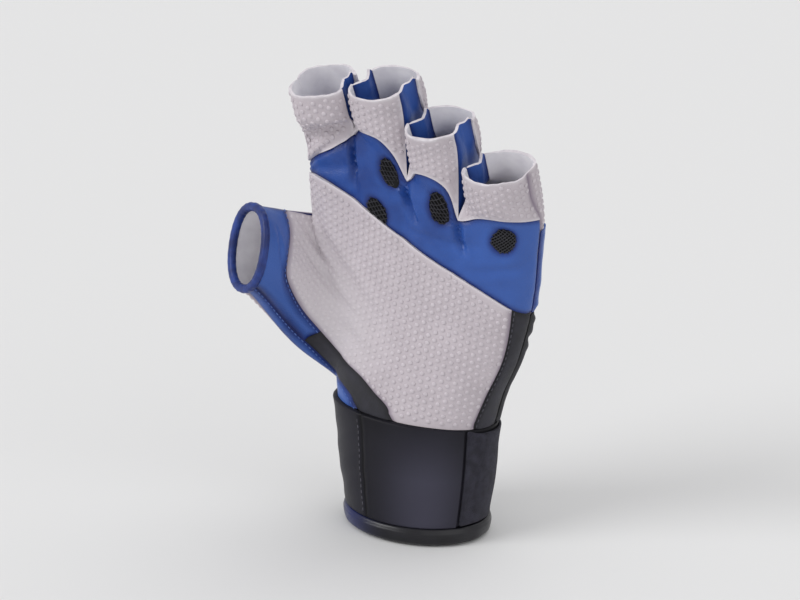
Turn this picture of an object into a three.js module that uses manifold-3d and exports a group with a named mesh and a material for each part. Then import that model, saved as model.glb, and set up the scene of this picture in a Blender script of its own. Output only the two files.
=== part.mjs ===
// A left-hand half-finger shooting glove, shown as on a hand. Millimetres, +Z up through the fingers,
// palm towards -Y, thumb towards -X. The origin is the middle of the wrist opening, in the plane of its edge.
import * as THREE from "three";
import { mergeVertices } from "three/addons/utils/BufferGeometryUtils.js";
import Module from "manifold-3d";

const wasm = await Module();
wasm.setup();

// Leather
const leatherThickness = 1.8;
const wallThickness = 1.4;
const seamGap = 0.3;
const crotchStation = 106;
const stallLength = 26;
const stallRoundness = 2.5;

// Sections of the hand from the wrist to the finger crotches, thumb side to little finger side.
// station is the length up the palm; palm and back are how far the leather bulges from the hand's edge.
const handRows = [
  { station: 0, zThumb: 57, zLittle: 53, xThumb: -39.5, xLittle: 33.5, yThumb: 0, yLittle: 0, palm: 25, back: 25, square: 0.92 },
  { station: 18, zThumb: 76, zLittle: 68, xThumb: -42, xLittle: 37, yThumb: 0, yLittle: -1, palm: 25, back: 26, square: 0.88 },
  { station: 40, zThumb: 102, zLittle: 86, xThumb: -47, xLittle: 43.5, yThumb: -3, yLittle: -4, palm: 21, back: 24, square: 0.82 },
  { station: 70, zThumb: 138, zLittle: 112, xThumb: -52, xLittle: 49, yThumb: -8, yLittle: -8, palm: 16, back: 22, square: 0.78 },
  { station: 106, zThumb: 166, zLittle: 148, xThumb: -54, xLittle: 52, yThumb: -13, yLittle: -14, palm: 11, back: 21, square: 0.75 },
];

// The glove's outer edges and the three crotches between the fingers
const crotches = [
  { xPalm: -54, xBack: -54, zPalm: 167, zBack: 167 },
  { xPalm: -31, xBack: -28, zPalm: 180, zBack: 180 },
  { xPalm: -6, xBack: -3, zPalm: 163, zBack: 174 },
  { xPalm: 17.5, xBack: 20, zPalm: 149, zBack: 160 },
  { xPalm: 52, xBack: 52, zPalm: 149, zBack: 149 },
];
const crotchLobe = { palm: 3.2, back: 2.6 };

// Finger stalls: the middle of each mouth, its half sizes, its bend to the palm, and the angles of its seams
const fingers = [
  { name: "index", x: -45, y: -25.5, z: 202.5, halfWidth: 12.9, halfDepth: 12.5, curl: 24, splay: -8.5, yaw: -5, skew: 0.12, palmFrom: -90, palmTo: 72, backFrom: -90, backTo: 68 },
  { name: "middle", x: -17.4, y: -26, z: 205, halfWidth: 12.8, halfDepth: 12.5, curl: 26, splay: -6, yaw: -8, skew: 0.28, palmFrom: -76, palmTo: 66, backFrom: -62, backTo: 74 },
  { name: "ring", x: 8.4, y: -27, z: 191.5, halfWidth: 12.2, halfDepth: 12, curl: 28, splay: -4, yaw: -8, skew: 0.34, palmFrom: -76, palmTo: 66, backFrom: -62, backTo: 74 },
  { name: "little", x: 35.4, y: -27, z: 175.5, halfWidth: 13.6, halfDepth: 11.5, curl: 28, splay: -3, yaw: -8, skew: 0.3, palmFrom: -78, palmTo: 90, backFrom: -62, backTo: 90 },
];

// Thumb: its oval mouth, and the loop where it leaves the hand (stations low to high, width as a share of the palm)
const thumbMouth = { x: -70, y: -37, z: 128, halfHeight: 18.6, halfDepth: 14, normal: [-0.62, -0.76, 0.2], lean: 8 };
const thumbRoot = { low: 3, high: 71, palm: 0.27, back: 0.22 };
const thumbSag = 3;

// Seams on the palm and on the back. across runs 0 to 1 from the thumb edge of the hand to the little finger edge,
// and 0 to -1 from the thumb's root to its mouth. up is the station.
const palmSeams = {
  facing: [
    { across: -0.5, up: 71 }, { across: -0.52, up: 61 }, { across: -0.7, up: 46 }, { across: -0.73, up: 35 },
    { across: -0.56, up: 28.7 }, { across: -0.27, up: 24.8 }, { across: 0.02, up: 20 }, { across: 0.2, up: 16 },
    { across: 0.32, up: 11 }, { across: 0.44, up: 4.6 }, { across: 0.47, up: 0 },
  ],
  piping: [
    { across: -1, up: 14.5 }, { across: -0.55, up: 14 }, { across: -0.29, up: 12.4 }, { across: -0.08, up: 9.6 },
    { across: 0, up: 8.9 }, { across: 0.14, up: 7.6 }, { across: 0.26, up: 4 }, { across: 0.3, up: 0 },
  ],
  facingEnd: [{ across: -0.33, up: 12.6 }, { across: -0.27, up: 24.8 }],
  bandLower: [
    { across: 0, up: 94 }, { across: 0.1, up: 91 }, { across: 0.25, up: 86.5 }, { across: 0.4, up: 83.5 },
    { across: 0.55, up: 78.5 }, { across: 0.7, up: 72.2 }, { across: 0.83, up: 67 }, { across: 1, up: 66 },
  ],
  ulnarStrip: [{ across: 0.82, up: 0 }, { across: 0.81, up: 40 }, { across: 0.83, up: 67 }],
};
// Upper edge of the knuckle band, finger by finger: share of the finger's width, height over the crotch line
const bandUpper = [
  [{ share: 0, over: -5 }, { share: 0.35, over: -7.5 }, { share: 0.7, over: -7 }, { share: 0.9, over: -3.5 }, { share: 1, over: -0.15 }],
  [{ share: 0, over: -0.15 }, { share: 0.25, over: 6.5 }, { share: 0.5, over: 8.5 }, { share: 0.8, over: 5 }, { share: 1, over: -0.15 }],
  [{ share: 0, over: -0.15 }, { share: 0.25, over: 7 }, { share: 0.5, over: 9 }, { share: 0.8, over: 7 }, { share: 1, over: -0.15 }],
  [{ share: 0, over: -0.15 }, { share: 0.15, over: 5 }, { share: 0.4, over: 7.5 }, { share: 0.75, over: 5 }, { share: 1, over: 3 }],
];
const backSeams = {
  fingerPanel: [
    { across: 0, up: 95 }, { across: 0.03, up: 91 }, { across: 0.08, up: 87 }, { across: 0.16, up: 84 },
    { across: 0.45, up: 80.4 }, { across: 0.8, up: 76 }, { across: 1, up: 72.5 },
  ],
  gusset: [
    { across: 0.16, up: 84 }, { across: 0.07, up: 79 }, { across: 0.015, up: 72 }, { across: -0.1, up: 66 }, { across: -0.35, up: 64 },
    { across: -0.6, up: 64.5 }, { across: -0.76, up: 61 }, { across: -0.82, up: 50 }, { across: -0.84, up: 36 }, { across: -1, up: 27 },
  ],
};
const meshWindow = [
  { across: 0.66, up: 54 }, { across: 0.62, up: 63 }, { across: 0.52, up: 66 }, { across: 0.36, up: 64.5 }, { across: 0.2, up: 61.5 },
  { across: 0.1, up: 59 }, { across: 0.04, up: 54.5 }, { across: 0.018, up: 48 }, { across: 0.03, up: 40.5 }, { across: 0.1, up: 33 }, { across: 0.26, up: 27 },
  { across: 0.42, up: 24.5 }, { across: 0.54, up: 26 }, { across: 0.62, up: 36 },
];

// Round mesh vents in the knuckle band
const ventRadius = 5;
const ventThickness = 1.1;
const vents = [
  { name: "vent_middle", across: 0.424, up: 103.8 },
  { name: "vent_ring", across: 0.564, up: 105.2 },
  { name: "vent_little", across: 0.768, up: 102.6 },
  { name: "vent_crescent", across: 0.392, up: 86 },
];

// Thumb binding: a bead on the edge of the thumb's mouth
const binding = { halfWidth: 1.7, height: 3 };

// Cuff
const cuff = { thickness: 3, proud: 1.9, bottomCentreX: 0, bottomHalfWidth: 32, bottomHalfDepth: 27.5, edgeHeight: 8, edgeProud: 0.6 };
// Angles round the cuff: 0 is the back, 90 the little finger side, 180 the palm, 270 the thumb side
const flap = { thickness: 1.2, fromAngle: -28, toAngle: 131, topClear: 2 };
const patch = { thickness: 0.8, fromAngle: -23, toAngle: 64, bottom: 11, top: 47, corner: 5 };

// Vectors as [x, y, z]
const add = (a, b, k = 1) => [a[0] + b[0] * k, a[1] + b[1] * k, a[2] + b[2] * k];
const sub = (a, b) => [a[0] - b[0], a[1] - b[1], a[2] - b[2]];
const dot = (a, b) => a[0] * b[0] + a[1] * b[1] + a[2] * b[2];
const cross = (a, b) => [a[1] * b[2] - a[2] * b[1], a[2] * b[0] - a[0] * b[2], a[0] * b[1] - a[1] * b[0]];
const size = (a) => Math.hypot(a[0], a[1], a[2]);
const unit = (a) => add([0, 0, 0], a, 1 / (size(a) || 1));
const lerp = (a, b, t) => a + (b - a) * t;
const clamp = (v, lo, hi) => Math.min(hi, Math.max(lo, v));
const rad = THREE.MathUtils.degToRad;
const signedPower = (v, p) => Math.sign(v) * Math.abs(v) ** p;

const PALM = -1;
const BACK = 1;

function smoothTable(xs, ys, x) {
  x = clamp(x, xs[0], xs[xs.length - 1]);
  let i = 0;
  while (i < xs.length - 2 && x > xs[i + 1]) i += 1;
  const slope = (j) => {
    if (j === 0) return (ys[1] - ys[0]) / (xs[1] - xs[0]);
    if (j === xs.length - 1) return (ys[j] - ys[j - 1]) / (xs[j] - xs[j - 1]);
    const h0 = xs[j] - xs[j - 1];
    const h1 = xs[j + 1] - xs[j];
    return (h0 ** 2 * ys[j + 1] + (h1 ** 2 - h0 ** 2) * ys[j] - h1 ** 2 * ys[j - 1]) / (h0 * h1 * (h0 + h1));
  };
  const h = xs[i + 1] - xs[i];
  return hermite(ys[i], ys[i + 1], slope(i) * h, slope(i + 1) * h, (x - xs[i]) / h);
}

function hermite(p0, p1, m0, m1, t) {
  const t2 = t * t;
  const t3 = t2 * t;
  return (2 * t3 - 3 * t2 + 1) * p0 + (t3 - 2 * t2 + t) * m0 + (3 * t2 - 2 * t3) * p1 + (t3 - t2) * m1;
}

// Where the crotches lie across the palm and across the back, as shares of the hand's girth from edge to edge
const crotchRow = handRows[handRows.length - 1];
const crotchMiddle = (crotchRow.xThumb + crotchRow.xLittle) / 2;
const crotchHalf = (crotchRow.xLittle - crotchRow.xThumb) / 2;
const shareAt = (x) => Math.acos(clamp(-(x - crotchMiddle) / crotchHalf, -1, 1)) / Math.PI;
const bounds = { [PALM]: crotches.map((c) => shareAt(c.xPalm)), [BACK]: crotches.map((c) => shareAt(c.xBack)) };

function fingerAt(share, side) {
  let k = 0;
  while (k < 3 && share >= bounds[side][k + 1]) k += 1;
  return k;
}

function handPoint(i, share, side, k) {
  const row = handRows[i];
  const u = -Math.cos(Math.PI * share);
  const bulge = clamp(Math.sin(Math.PI * share), 0, 1) ** row.square;
  const x = (row.xThumb + row.xLittle) / 2 + ((row.xLittle - row.xThumb) / 2) * u;
  let y = (row.yThumb + row.yLittle) / 2 + ((row.yLittle - row.yThumb) / 2) * u;
  let z = (row.zThumb + row.zLittle) / 2 + ((row.zLittle - row.zThumb) / 2) * u;
  if (i === 4) z = smoothTable(bounds[side], crotches.map((c) => (side === PALM ? c.zPalm : c.zBack)), share);
  y += side * (side === PALM ? row.palm : row.back) * bulge;
  if (i >= 3) {
    const t = (share - bounds[side][k]) / (bounds[side][k + 1] - bounds[side][k]);
    y += side * (side === PALM ? crotchLobe.palm : crotchLobe.back) * (i === 4 ? 1 : 0.25) * (4 * t * (1 - t) - 0.6) * bulge;
  }
  return [x, y, z];
}

// Directions of a stall: along the finger, across it, and from the palm to the back
function stallFrame(finger) {
  const c = rad(finger.curl);
  const s = rad(finger.splay);
  const axis = unit([Math.sin(s) * Math.cos(c), -Math.sin(c), Math.cos(c) * Math.cos(s)]);
  const flat = [Math.cos(rad(finger.yaw)), Math.sin(rad(finger.yaw)), 0];
  const across = unit(add(flat, axis, -dot(flat, axis)));
  return { axis, across, toPalm: add(cross(across, axis), across, -finger.skew) };
}

// level 0 is half way up the stall, 1 is its mouth; angle 0 faces the palm or the back, 90 the side
function stallPoint(finger, angle, level, side) {
  const { axis, across, toPalm } = stallFrame(finger);
  const centre = add([finger.x, finger.y, finger.z], axis, -stallLength * 0.5 * (1 - level));
  const w = signedPower(Math.sin(rad(angle)), 2 / stallRoundness) * finger.halfWidth * (1 - 0.02 * (1 - level));
  const d = signedPower(Math.cos(rad(angle)), 2 / stallRoundness) * finger.halfDepth * (1 + 0.06 * (1 - level));
  return add(add(centre, across, w), toPalm, -side * d);
}

function seamAngle(finger, t, side) {
  return side === PALM ? lerp(finger.palmFrom, finger.palmTo, t) : lerp(finger.backFrom, finger.backTo, t);
}

const stations = [...handRows.map((r) => r.station), crotchStation + stallLength / 2, crotchStation + stallLength];

// The leather's outer face on the palm or back: share across, station up; k names the finger above the crotches
function sheetPoint(share, up, side, k = fingerAt(share, side)) {
  const finger = fingers[k];
  const t = (share - bounds[side][k]) / (bounds[side][k + 1] - bounds[side][k]);
  const p = handRows.map((_, i) => handPoint(i, share, side, k));
  p.push(stallPoint(finger, seamAngle(finger, t, side), 0, side), stallPoint(finger, seamAngle(finger, t, side), 1, side));
  const h = stations.slice(1).map((s, i) => s - stations[i]);
  const between = (i, j, d) => sub(p[j], p[i]).map((v) => v / d);
  const slope = [between(0, 1, h[0])];
  for (const i of [1, 2, 3]) {
    const before = between(i - 1, i, h[i - 1]);
    const after = between(i, i + 1, h[i]);
    slope.push(before.map((v, c) => (v * h[i] + after[c] * h[i - 1]) / (h[i - 1] + h[i])));
  }
  slope.push(between(3, 4, h[3]), between(4, 6, h[4] + h[5]), between(5, 6, h[5]));
  let i = 0;
  while (i < 5 && up >= stations[i + 1]) i += 1;
  const at = (up - stations[i]) / h[i];
  return [0, 1, 2].map((c) => hermite(p[i][c], p[i + 1][c], slope[i][c] * h[i], slope[i + 1][c] * h[i], at));
}

// The thumb's mouth: angle 0 at its lower end, through the palm side to its upper end at 180
const mouthNormal = unit(thumbMouth.normal);
function mouthPoint(angle) {
  const up0 = unit(add([0, 0, 1], mouthNormal, -mouthNormal[2]));
  let side0 = cross(mouthNormal, up0);
  if (side0[0] < 0) side0 = side0.map((v) => -v);
  const lean = rad(thumbMouth.lean);
  const up = add(add([0, 0, 0], up0, Math.cos(lean)), side0, -Math.sin(lean));
  const across = add(add([0, 0, 0], side0, Math.cos(lean)), up0, Math.sin(lean));
  const centre = [thumbMouth.x, thumbMouth.y, thumbMouth.z];
  const high = signedPower(Math.cos(angle), 0.9) * thumbMouth.halfHeight;
  return add(add(centre, up, -high), across, signedPower(Math.sin(angle), 0.9) * thumbMouth.halfDepth);
}

const rootTurn = (up) => clamp((up - thumbRoot.low) / (thumbRoot.high - thumbRoot.low), 0, 1);
const rootShare = (up, side) => (side === PALM ? thumbRoot.palm : thumbRoot.back) * Math.sin(Math.PI * rootTurn(up));

// The thumb's leather: out 0 at its root on the hand, 1 at its mouth
function thumbPoint(up, out, side) {
  const turn = rootTurn(up);
  const share = rootShare(up, side);
  const start = sheetPoint(share, clamp(up, thumbRoot.low, thumbRoot.high), side);
  const inward = sheetPoint(share + 0.02, clamp(up, thumbRoot.low, thumbRoot.high), side);
  const end = mouthPoint(side === PALM ? Math.PI * turn : 2 * Math.PI - Math.PI * turn);
  const chord = sub(end, start);
  const reach = size(chord);
  const straight = unit(chord);
  const follow = clamp(Math.sin(Math.PI * turn) ** 2 * 1.3, 0, 1);
  const away = unit(sub(start, inward));
  const leave = unit([0, 1, 2].map((c) => away[c] * follow + straight[c] * (1 - follow)));
  const square = 0.6 * turn;
  const arrive = [0, 1, 2].map((c) => mouthNormal[c] * square + straight[c] * (1 - square));
  const sag = thumbSag * (1 - turn) ** 2 * Math.sin(Math.PI * out) ** 2;
  const hang = [-0.6 * sag, 0, -0.8 * sag];
  return [0, 1, 2].map((c) => hermite(start[c], end[c], leave[c] * reach * 0.9, arrive[c] * reach * 0.9, out) + hang[c]);
}

// The whole leather face on one side, in the seams' measures
function facePoint(side, across, up, k) {
  if (across < 0) return thumbPoint(up, -across, side);
  const share = rootShare(up, side);
  return sheetPoint(share + (1 - share) * across, up, side, k);
}

function faceNormal(side, across, up, k) {
  const e = 0.004;
  const lo = across < 0 ? across - e : Math.max(0, across - e);
  const hi = across < 0 ? Math.min(-1e-6, across + e) : across + e;
  const da = sub(facePoint(side, hi, up, k), facePoint(side, lo, up, k));
  const low = across < 0 ? Math.max(thumbRoot.low, up - 0.4) : up - 0.4;
  const high = across < 0 ? Math.min(thumbRoot.high, up + 0.4) : up + 0.4;
  const db = sub(facePoint(side, across, high, k), facePoint(side, across, low, k));
  return unit(side === PALM ? cross(da, db) : cross(db, da));
}

// Patches of points become one indexed surface
function weld(patches) {
  const xyz = [];
  for (const { rows, flip } of patches) {
    for (let i = 0; i + 1 < rows.length; i += 1) {
      for (let j = 0; j + 1 < rows[i].length; j += 1) {
        const [a, b, c, d] = [rows[i][j], rows[i][j + 1], rows[i + 1][j + 1], rows[i + 1][j]];
        const pair = size(sub(a, c)) <= size(sub(b, d)) ? [[a, b, c], [a, c, d]] : [[a, b, d], [b, c, d]];
        for (const tri of pair) {
          const area = size(cross(sub(tri[1], tri[0]), sub(tri[2], tri[0])));
          if (area > 1e-5) xyz.push(...(flip ? [tri[0], tri[2], tri[1]] : tri).flat());
        }
      }
    }
  }
  const geometry = new THREE.BufferGeometry();
  geometry.setAttribute("position", new THREE.Float32BufferAttribute(xyz, 3));
  const merged = mergeVertices(geometry, 2e-3);
  const position = merged.getAttribute("position");
  const points = [];
  for (let i = 0; i < position.count; i += 1) points.push([position.getX(i), position.getY(i), position.getZ(i)]);
  const triangles = [];
  for (let i = 0; i < merged.index.count; i += 3) triangles.push([merged.index.getX(i), merged.index.getX(i + 1), merged.index.getX(i + 2)]);
  return { points, triangles };
}

function solidFrom(points, triangles) {
  return new wasm.Manifold(
    new wasm.Mesh({ numProp: 3, vertProperties: new Float32Array(points.flat()), triVerts: new Uint32Array(triangles.flat()) }),
  );
}

function vertexNormals({ points, triangles }) {
  const normals = points.map(() => [0, 0, 0]);
  for (const [a, b, c] of triangles) {
    const n = cross(sub(points[b], points[a]), sub(points[c], points[a]));
    for (const v of [a, b, c]) normals[v] = add(normals[v], n);
  }
  return normals.map(unit);
}

// A surface becomes a wall: outer and inner are the distances along the normals, trim pulls its edges in.
// The normals are those of the whole glove, so that neighbours meet squarely at a seam.
function thicken({ points, triangles }, outer, inner, trim, whole) {
  const own = vertexNormals({ points, triangles });
  const normals = points.map((p, i) => {
    const j = nearest(whole.points, p);
    return size(sub(whole.points[j], p)) < 0.01 ? whole.normals[j] : own[i];
  });
  const edges = new Map();
  for (const [a, b, c] of triangles) {
    for (const [p, q] of [[a, b], [b, c], [c, a]]) edges.set(p + "," + q, [p, q]);
  }
  const rim = [...edges.values()].filter(([p, q]) => !edges.has(q + "," + p));
  const pull = new Map();
  for (const [p, q] of rim) {
    for (const v of [p, q]) {
      const inward = unit(cross(unit(normals[v]), sub(points[q], points[p])));
      pull.set(v, [...(pull.get(v) ?? []), inward]);
    }
  }
  const moved = points.map((p, i) => {
    const dirs = pull.get(i);
    if (!dirs) return p;
    const both = dirs.reduce((s, d) => add(s, d), [0, 0, 0]);
    const miter = Math.min(1.6, 2 / Math.max(0.3, size(both)));
    return add(p, unit(both), trim * miter);
  });
  const count = points.length;
  const shell = [
    ...moved.map((p, i) => add(p, unit(normals[i]), outer)),
    ...moved.map((p, i) => add(p, unit(normals[i]), -inner)),
  ];
  const faces = [];
  for (const [a, b, c] of triangles) faces.push([a, b, c], [a + count, c + count, b + count]);
  // both walls at a seam split their edge faces along the same diagonal
  const order = (v) => dot(points[v], [1, 1.3, 1.7]);
  for (const [p, q] of rim) {
    if (order(p) < order(q)) faces.push([p + count, q + count, q], [p + count, q, p]);
    else faces.push([p + count, q + count, p], [q + count, q, p]);
  }
  return solidFrom(shell, faces);
}

function nearest(points, p) {
  let best = 0;
  let least = Infinity;
  points.forEach((q, i) => {
    const d = (q[0] - p[0]) ** 2 + (q[1] - p[1]) ** 2 + (q[2] - p[2]) ** 2;
    if (d < least) [least, best] = [d, i];
  });
  return best;
}

// Closed loops of equal length joined into a solid, as a ring or with two flat ends
function loft(loops, ring = false) {
  const n = loops[0].length;
  const points = loops.flat();
  const faces = [];
  const last = ring ? loops.length : loops.length - 1;
  for (let i = 0; i < last; i += 1) {
    const next = (i + 1) % loops.length;
    for (let j = 0; j < n; j += 1) {
      const k = (j + 1) % n;
      const [a, b, c, d] = [i * n + j, i * n + k, next * n + k, next * n + j];
      // opposite faces of a thin twisted strip take the same diagonal, so they don't cross
      if (j === 3) faces.push([a, b, d], [b, c, d]);
      else faces.push([a, b, c], [a, c, d]);
    }
  }
  if (!ring) {
    const end = (loops.length - 1) * n;
    for (let j = 1; j + 1 < n; j += 1) faces.push([0, j + 1, j], [end, end + j, end + j + 1]);
  }
  const solid = solidFrom(points, faces);
  if (solid.volume() > 0) return solid;
  return solidFrom(points, faces.map(([a, b, c]) => [a, c, b]));
}

// A thin cutter that follows a seam through the leather
function blade(side, seam, { over = 1.4, under = 3.2, extend = [2, 2], closed = false } = {}) {
  const path = [];
  for (let i = 0; i + 1 < seam.length; i += 1) {
    const a = seam[i];
    const b = seam[i + 1];
    const span = size(sub(facePoint(side, a.across, a.up), facePoint(side, b.across, b.up)));
    const steps = Math.max(1, Math.round(span / 6));
    for (let s = 0; s < steps; s += 1) path.push([lerp(a.across, b.across, s / steps), lerp(a.up, b.up, s / steps), b.finger]);
  }
  if (!closed) path.push([seam[seam.length - 1].across, seam[seam.length - 1].up, seam[seam.length - 1].finger]);
  const points = path.map((at) => facePoint(side, ...at));
  const raw = path.map((at) => faceNormal(side, ...at));
  const normals = raw.map((n, i) => unit(add(add(n, raw[i - 1] ?? n, 0.5), raw[i + 1] ?? n, 0.5)));
  if (!closed) {
    const n = points.length;
    if (extend[0] > 0) {
      points.unshift(add(points[0], unit(sub(points[0], points[1])), extend[0]));
      normals.unshift(normals[0]);
    }
    if (extend[1] > 0) {
      const m = points.length;
      points.push(add(points[m - 1], unit(sub(points[m - 1], points[m - 2])), extend[1]));
      normals.push(normals[m - 1]);
    }
  }
  const count = points.length;
  const loops = points.map((p, i) => {
    const before = points[closed ? (i + count - 1) % count : Math.max(0, i - 1)];
    const after = points[closed ? (i + 1) % count : Math.min(count - 1, i + 1)];
    const beside = unit(cross(unit(sub(after, before)), normals[i]));
    const w = seamGap / 2;
    return [
      add(add(p, beside, w), normals[i], over),
      add(add(p, beside, -w), normals[i], over),
      add(add(p, beside, -w), normals[i], -under),
      add(add(p, beside, w), normals[i], -under),
    ];
  });
  return loft(loops, closed);
}

// Sample lines of the leather: across in shares per finger, up in stations
const columnsPerFinger = [5, 4, 4, 5];
const lowRows = 9;
const highRows = 4;
const thumbColumns = 4;
const tabRows = 4;
const wallColumns = 5;

function gloveHalf(side) {
  const flip = side === BACK;
  const patches = [];
  const shares = [0];
  columnsPerFinger.forEach((n, k) => {
    for (let i = 1; i <= n; i += 1) shares.push(lerp(bounds[side][k], bounds[side][k + 1], i / n));
  });
  const ups = [0];
  for (let i = 0; i <= lowRows; i += 1) ups.push(lerp(thumbRoot.low, thumbRoot.high, i / lowRows));
  for (let i = 1; i <= highRows; i += 1) ups.push(lerp(thumbRoot.high, crotchStation, i / highRows));
  patches.push({ flip, rows: ups.map((up) => shares.map((s) => facePoint(side, s, up))) });
  const thumbUps = ups.filter((up) => up >= thumbRoot.low && up <= thumbRoot.high);
  patches.push({
    flip,
    rows: thumbUps.map((up) => {
      const row = [];
      for (let j = thumbColumns; j >= 0; j -= 1) row.push(thumbPoint(up, j / thumbColumns, side));
      return row;
    }),
  });
  fingers.forEach((_, k) => {
    const rows = [];
    for (let i = 0; i <= tabRows; i += 1) {
      const row = [];
      for (let j = 0; j <= columnsPerFinger[k]; j += 1) {
        row.push(sheetPoint(lerp(bounds[side][k], bounds[side][k + 1], j / columnsPerFinger[k]), crotchStation + (stallLength * i) / tabRows, side, k));
      }
      rows.push(row);
    }
    patches.push({ flip, rows });
  });
  return patches;
}

function bodies(solid, least = 20) {
  return solid.decompose().filter((s) => s.volume() > least).sort((a, b) => b.volume() - a.volume());
}

const cutAll = (solid, cutters) => cutters.reduce((s, c) => s.subtract(c), solid);

// The body that has a vertex nearest to a point on the leather
function bodyAt(list, side, across, up) {
  const target = facePoint(side, across, up);
  let best = null;
  for (const solid of list) {
    const v = solid.getMesh().vertProperties;
    for (let i = 0; i < v.length; i += 3) {
      const d = size(sub([v[i], v[i + 1], v[i + 2]], target));
      if (!best || d < best.d) best = { d, solid };
    }
  }
  return best.solid;
}

const looks = {
  whiteLeather: { color: 0xcdc4cb, roughness: 0.75, metalness: 0 },
  blueLeather: { color: 0x2d50a0, roughness: 0.45, metalness: 0 },
  charcoal: { color: 0x3a3840, roughness: 0.8, metalness: 0 },
  neoprene: { color: 0x2a2830, roughness: 0.7, metalness: 0 },
  loopFabric: { color: 0x37353d, roughness: 0.95, metalness: 0 },
  edgeTape: { color: 0x15141a, roughness: 0.35, metalness: 0 },
  mesh: { color: 0x111014, roughness: 0.9, metalness: 0 },
};
const materials = Object.fromEntries(
  Object.entries(looks).map(([name, look]) => [name, new THREE.MeshStandardMaterial({ ...look, name, flatShading: true })]),
);

// Welds the slivers that the cuts leave, as far as the body stays closed
function withoutSlivers(solid) {
  const mesh = solid.getMesh();
  for (const reach of [0.05, 0.1, 0.03, 0.02, 0.01, 0.004]) {
    const geometry = new THREE.BufferGeometry();
    geometry.setAttribute("position", new THREE.BufferAttribute(new Float32Array(mesh.vertProperties), 3));
    geometry.setIndex(new THREE.BufferAttribute(new Uint32Array(mesh.triVerts), 1));
    const welded = mergeVertices(geometry, reach);
    const index = Array.from(welded.index.array);
    const kept = [];
    for (let i = 0; i < index.length; i += 3) {
      const [a, b, c] = index.slice(i, i + 3);
      if (a !== b && b !== c && a !== c) kept.push(a, b, c);
    }
    welded.setIndex(kept);
    const edges = new Set();
    for (let i = 0; i < kept.length; i += 3) {
      for (let j = 0; j < 3; j += 1) edges.add(kept[i + j] + "," + kept[i + ((j + 1) % 3)]);
    }
    if (edges.size < kept.length) continue;
    try {
      const check = new wasm.Manifold(
        new wasm.Mesh({ numProp: 3, vertProperties: new Float32Array(welded.getAttribute("position").array), triVerts: new Uint32Array(kept) }),
      );
      if (check.decompose().length === 1 && check.volume() > 0) return welded;
    } catch {
      continue;
    }
  }
  const geometry = new THREE.BufferGeometry();
  geometry.setAttribute("position", new THREE.BufferAttribute(mesh.vertProperties, 3));
  geometry.setIndex(new THREE.BufferAttribute(mesh.triVerts, 1));
  return geometry;
}

const glove = new THREE.Group();
function place(name, solid, material) {
  const geometry = withoutSlivers(solid);
  geometry.computeVertexNormals();
  const part = new THREE.Mesh(geometry, materials[material]);
  part.name = name;
  glove.add(part);
  return part;
}

// Side walls between the fingers: q runs from the palm edge to the back edge
function stallWall(k, end, q, level) {
  const finger = fingers[k];
  const palm = end > 0 ? finger.palmTo : finger.palmFrom;
  const back = end > 0 ? finger.backTo : finger.backFrom;
  const angle = lerp(palm, end * 180 - back, q);
  return stallPoint(finger, angle, level, PALM);
}
function fourchettePoint(k, end, q, up) {
  const share = (side) => bounds[side][end > 0 ? k + 1 : k];
  const palm = sheetPoint(share(PALM), crotchStation, PALM, k);
  const back = sheetPoint(share(BACK), crotchStation, BACK, k);
  const p4 = [0, 1, 2].map((c) => lerp(palm[c], back[c], q));
  const p5 = stallWall(k, end, q, 0);
  const p6 = stallWall(k, end, q, 1);
  const h = stallLength / 2;
  const slopeOf = (s) => (sheetPoint(share(s), crotchStation, s, k).map((v, c) => (v - sheetPoint(share(s), crotchStation - 0.5, s, k)[c]) / 0.5));
  const m4 = [0, 1, 2].map((c) => lerp(slopeOf(PALM)[c], slopeOf(BACK)[c], q));
  const m5 = [0, 1, 2].map((c) => (p6[c] - p4[c]) / (2 * h));
  const m6 = [0, 1, 2].map((c) => (p6[c] - p5[c]) / h);
  if (up < crotchStation + h) {
    const t = (up - crotchStation) / h;
    return [0, 1, 2].map((c) => hermite(p4[c], p5[c], m4[c] * h, m5[c] * h, t));
  }
  const t = (up - crotchStation - h) / h;
  return [0, 1, 2].map((c) => hermite(p5[c], p6[c], m5[c] * h, m6[c] * h, t));
}
function fourchettePatch(k) {
  const rows = [];
  for (let i = -tabRows; i <= tabRows; i += 1) {
    const row = [];
    const up = crotchStation + (stallLength * Math.abs(i)) / tabRows;
    const at = (q) => (i <= 0 ? fourchettePoint(k, 1, q, up) : fourchettePoint(k + 1, -1, q, up));
    for (let j = 0; j <= wallColumns; j += 1) row.push(at(j / wallColumns));
    rows.push(row);
  }
  return { rows, flip: true };
}

const wallPatches = [0, 1, 2].map(fourchettePatch);
const whole = weld([...gloveHalf(PALM), ...gloveHalf(BACK), ...wallPatches]);
whole.normals = vertexNormals(whole);

// Palm side
const palmSurface = weld(gloveHalf(PALM));
const bandUpperSeam = bandUpper.flatMap((rows, k) =>
  rows.slice(k === 0 ? 0 : 1).map(({ share, over }) => ({
    across: lerp(bounds[PALM][k], bounds[PALM][k + 1], share),
    up: crotchStation + over,
    finger: k,
  })),
);
const ventPost = (vent, radius, height, drop) => {
  const centre = facePoint(PALM, vent.across, vent.up);
  const normal = faceNormal(PALM, vent.across, vent.up);
  const turn = new THREE.Quaternion().setFromUnitVectors(new THREE.Vector3(0, 1, 0), new THREE.Vector3(...normal));
  const shape = new THREE.CylinderGeometry(radius, radius, height, 14);
  shape.applyQuaternion(turn);
  shape.translate(...add(centre, normal, -drop));
  shape.deleteAttribute("normal");
  shape.deleteAttribute("uv");
  const merged = mergeVertices(shape, 1e-4);
  return new wasm.Manifold(
    new wasm.Mesh({ numProp: 3, vertProperties: new Float32Array(merged.getAttribute("position").array), triVerts: new Uint32Array(merged.index.array) }),
  );
};
const bandLowerBlade = blade(PALM, palmSeams.bandLower);
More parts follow.
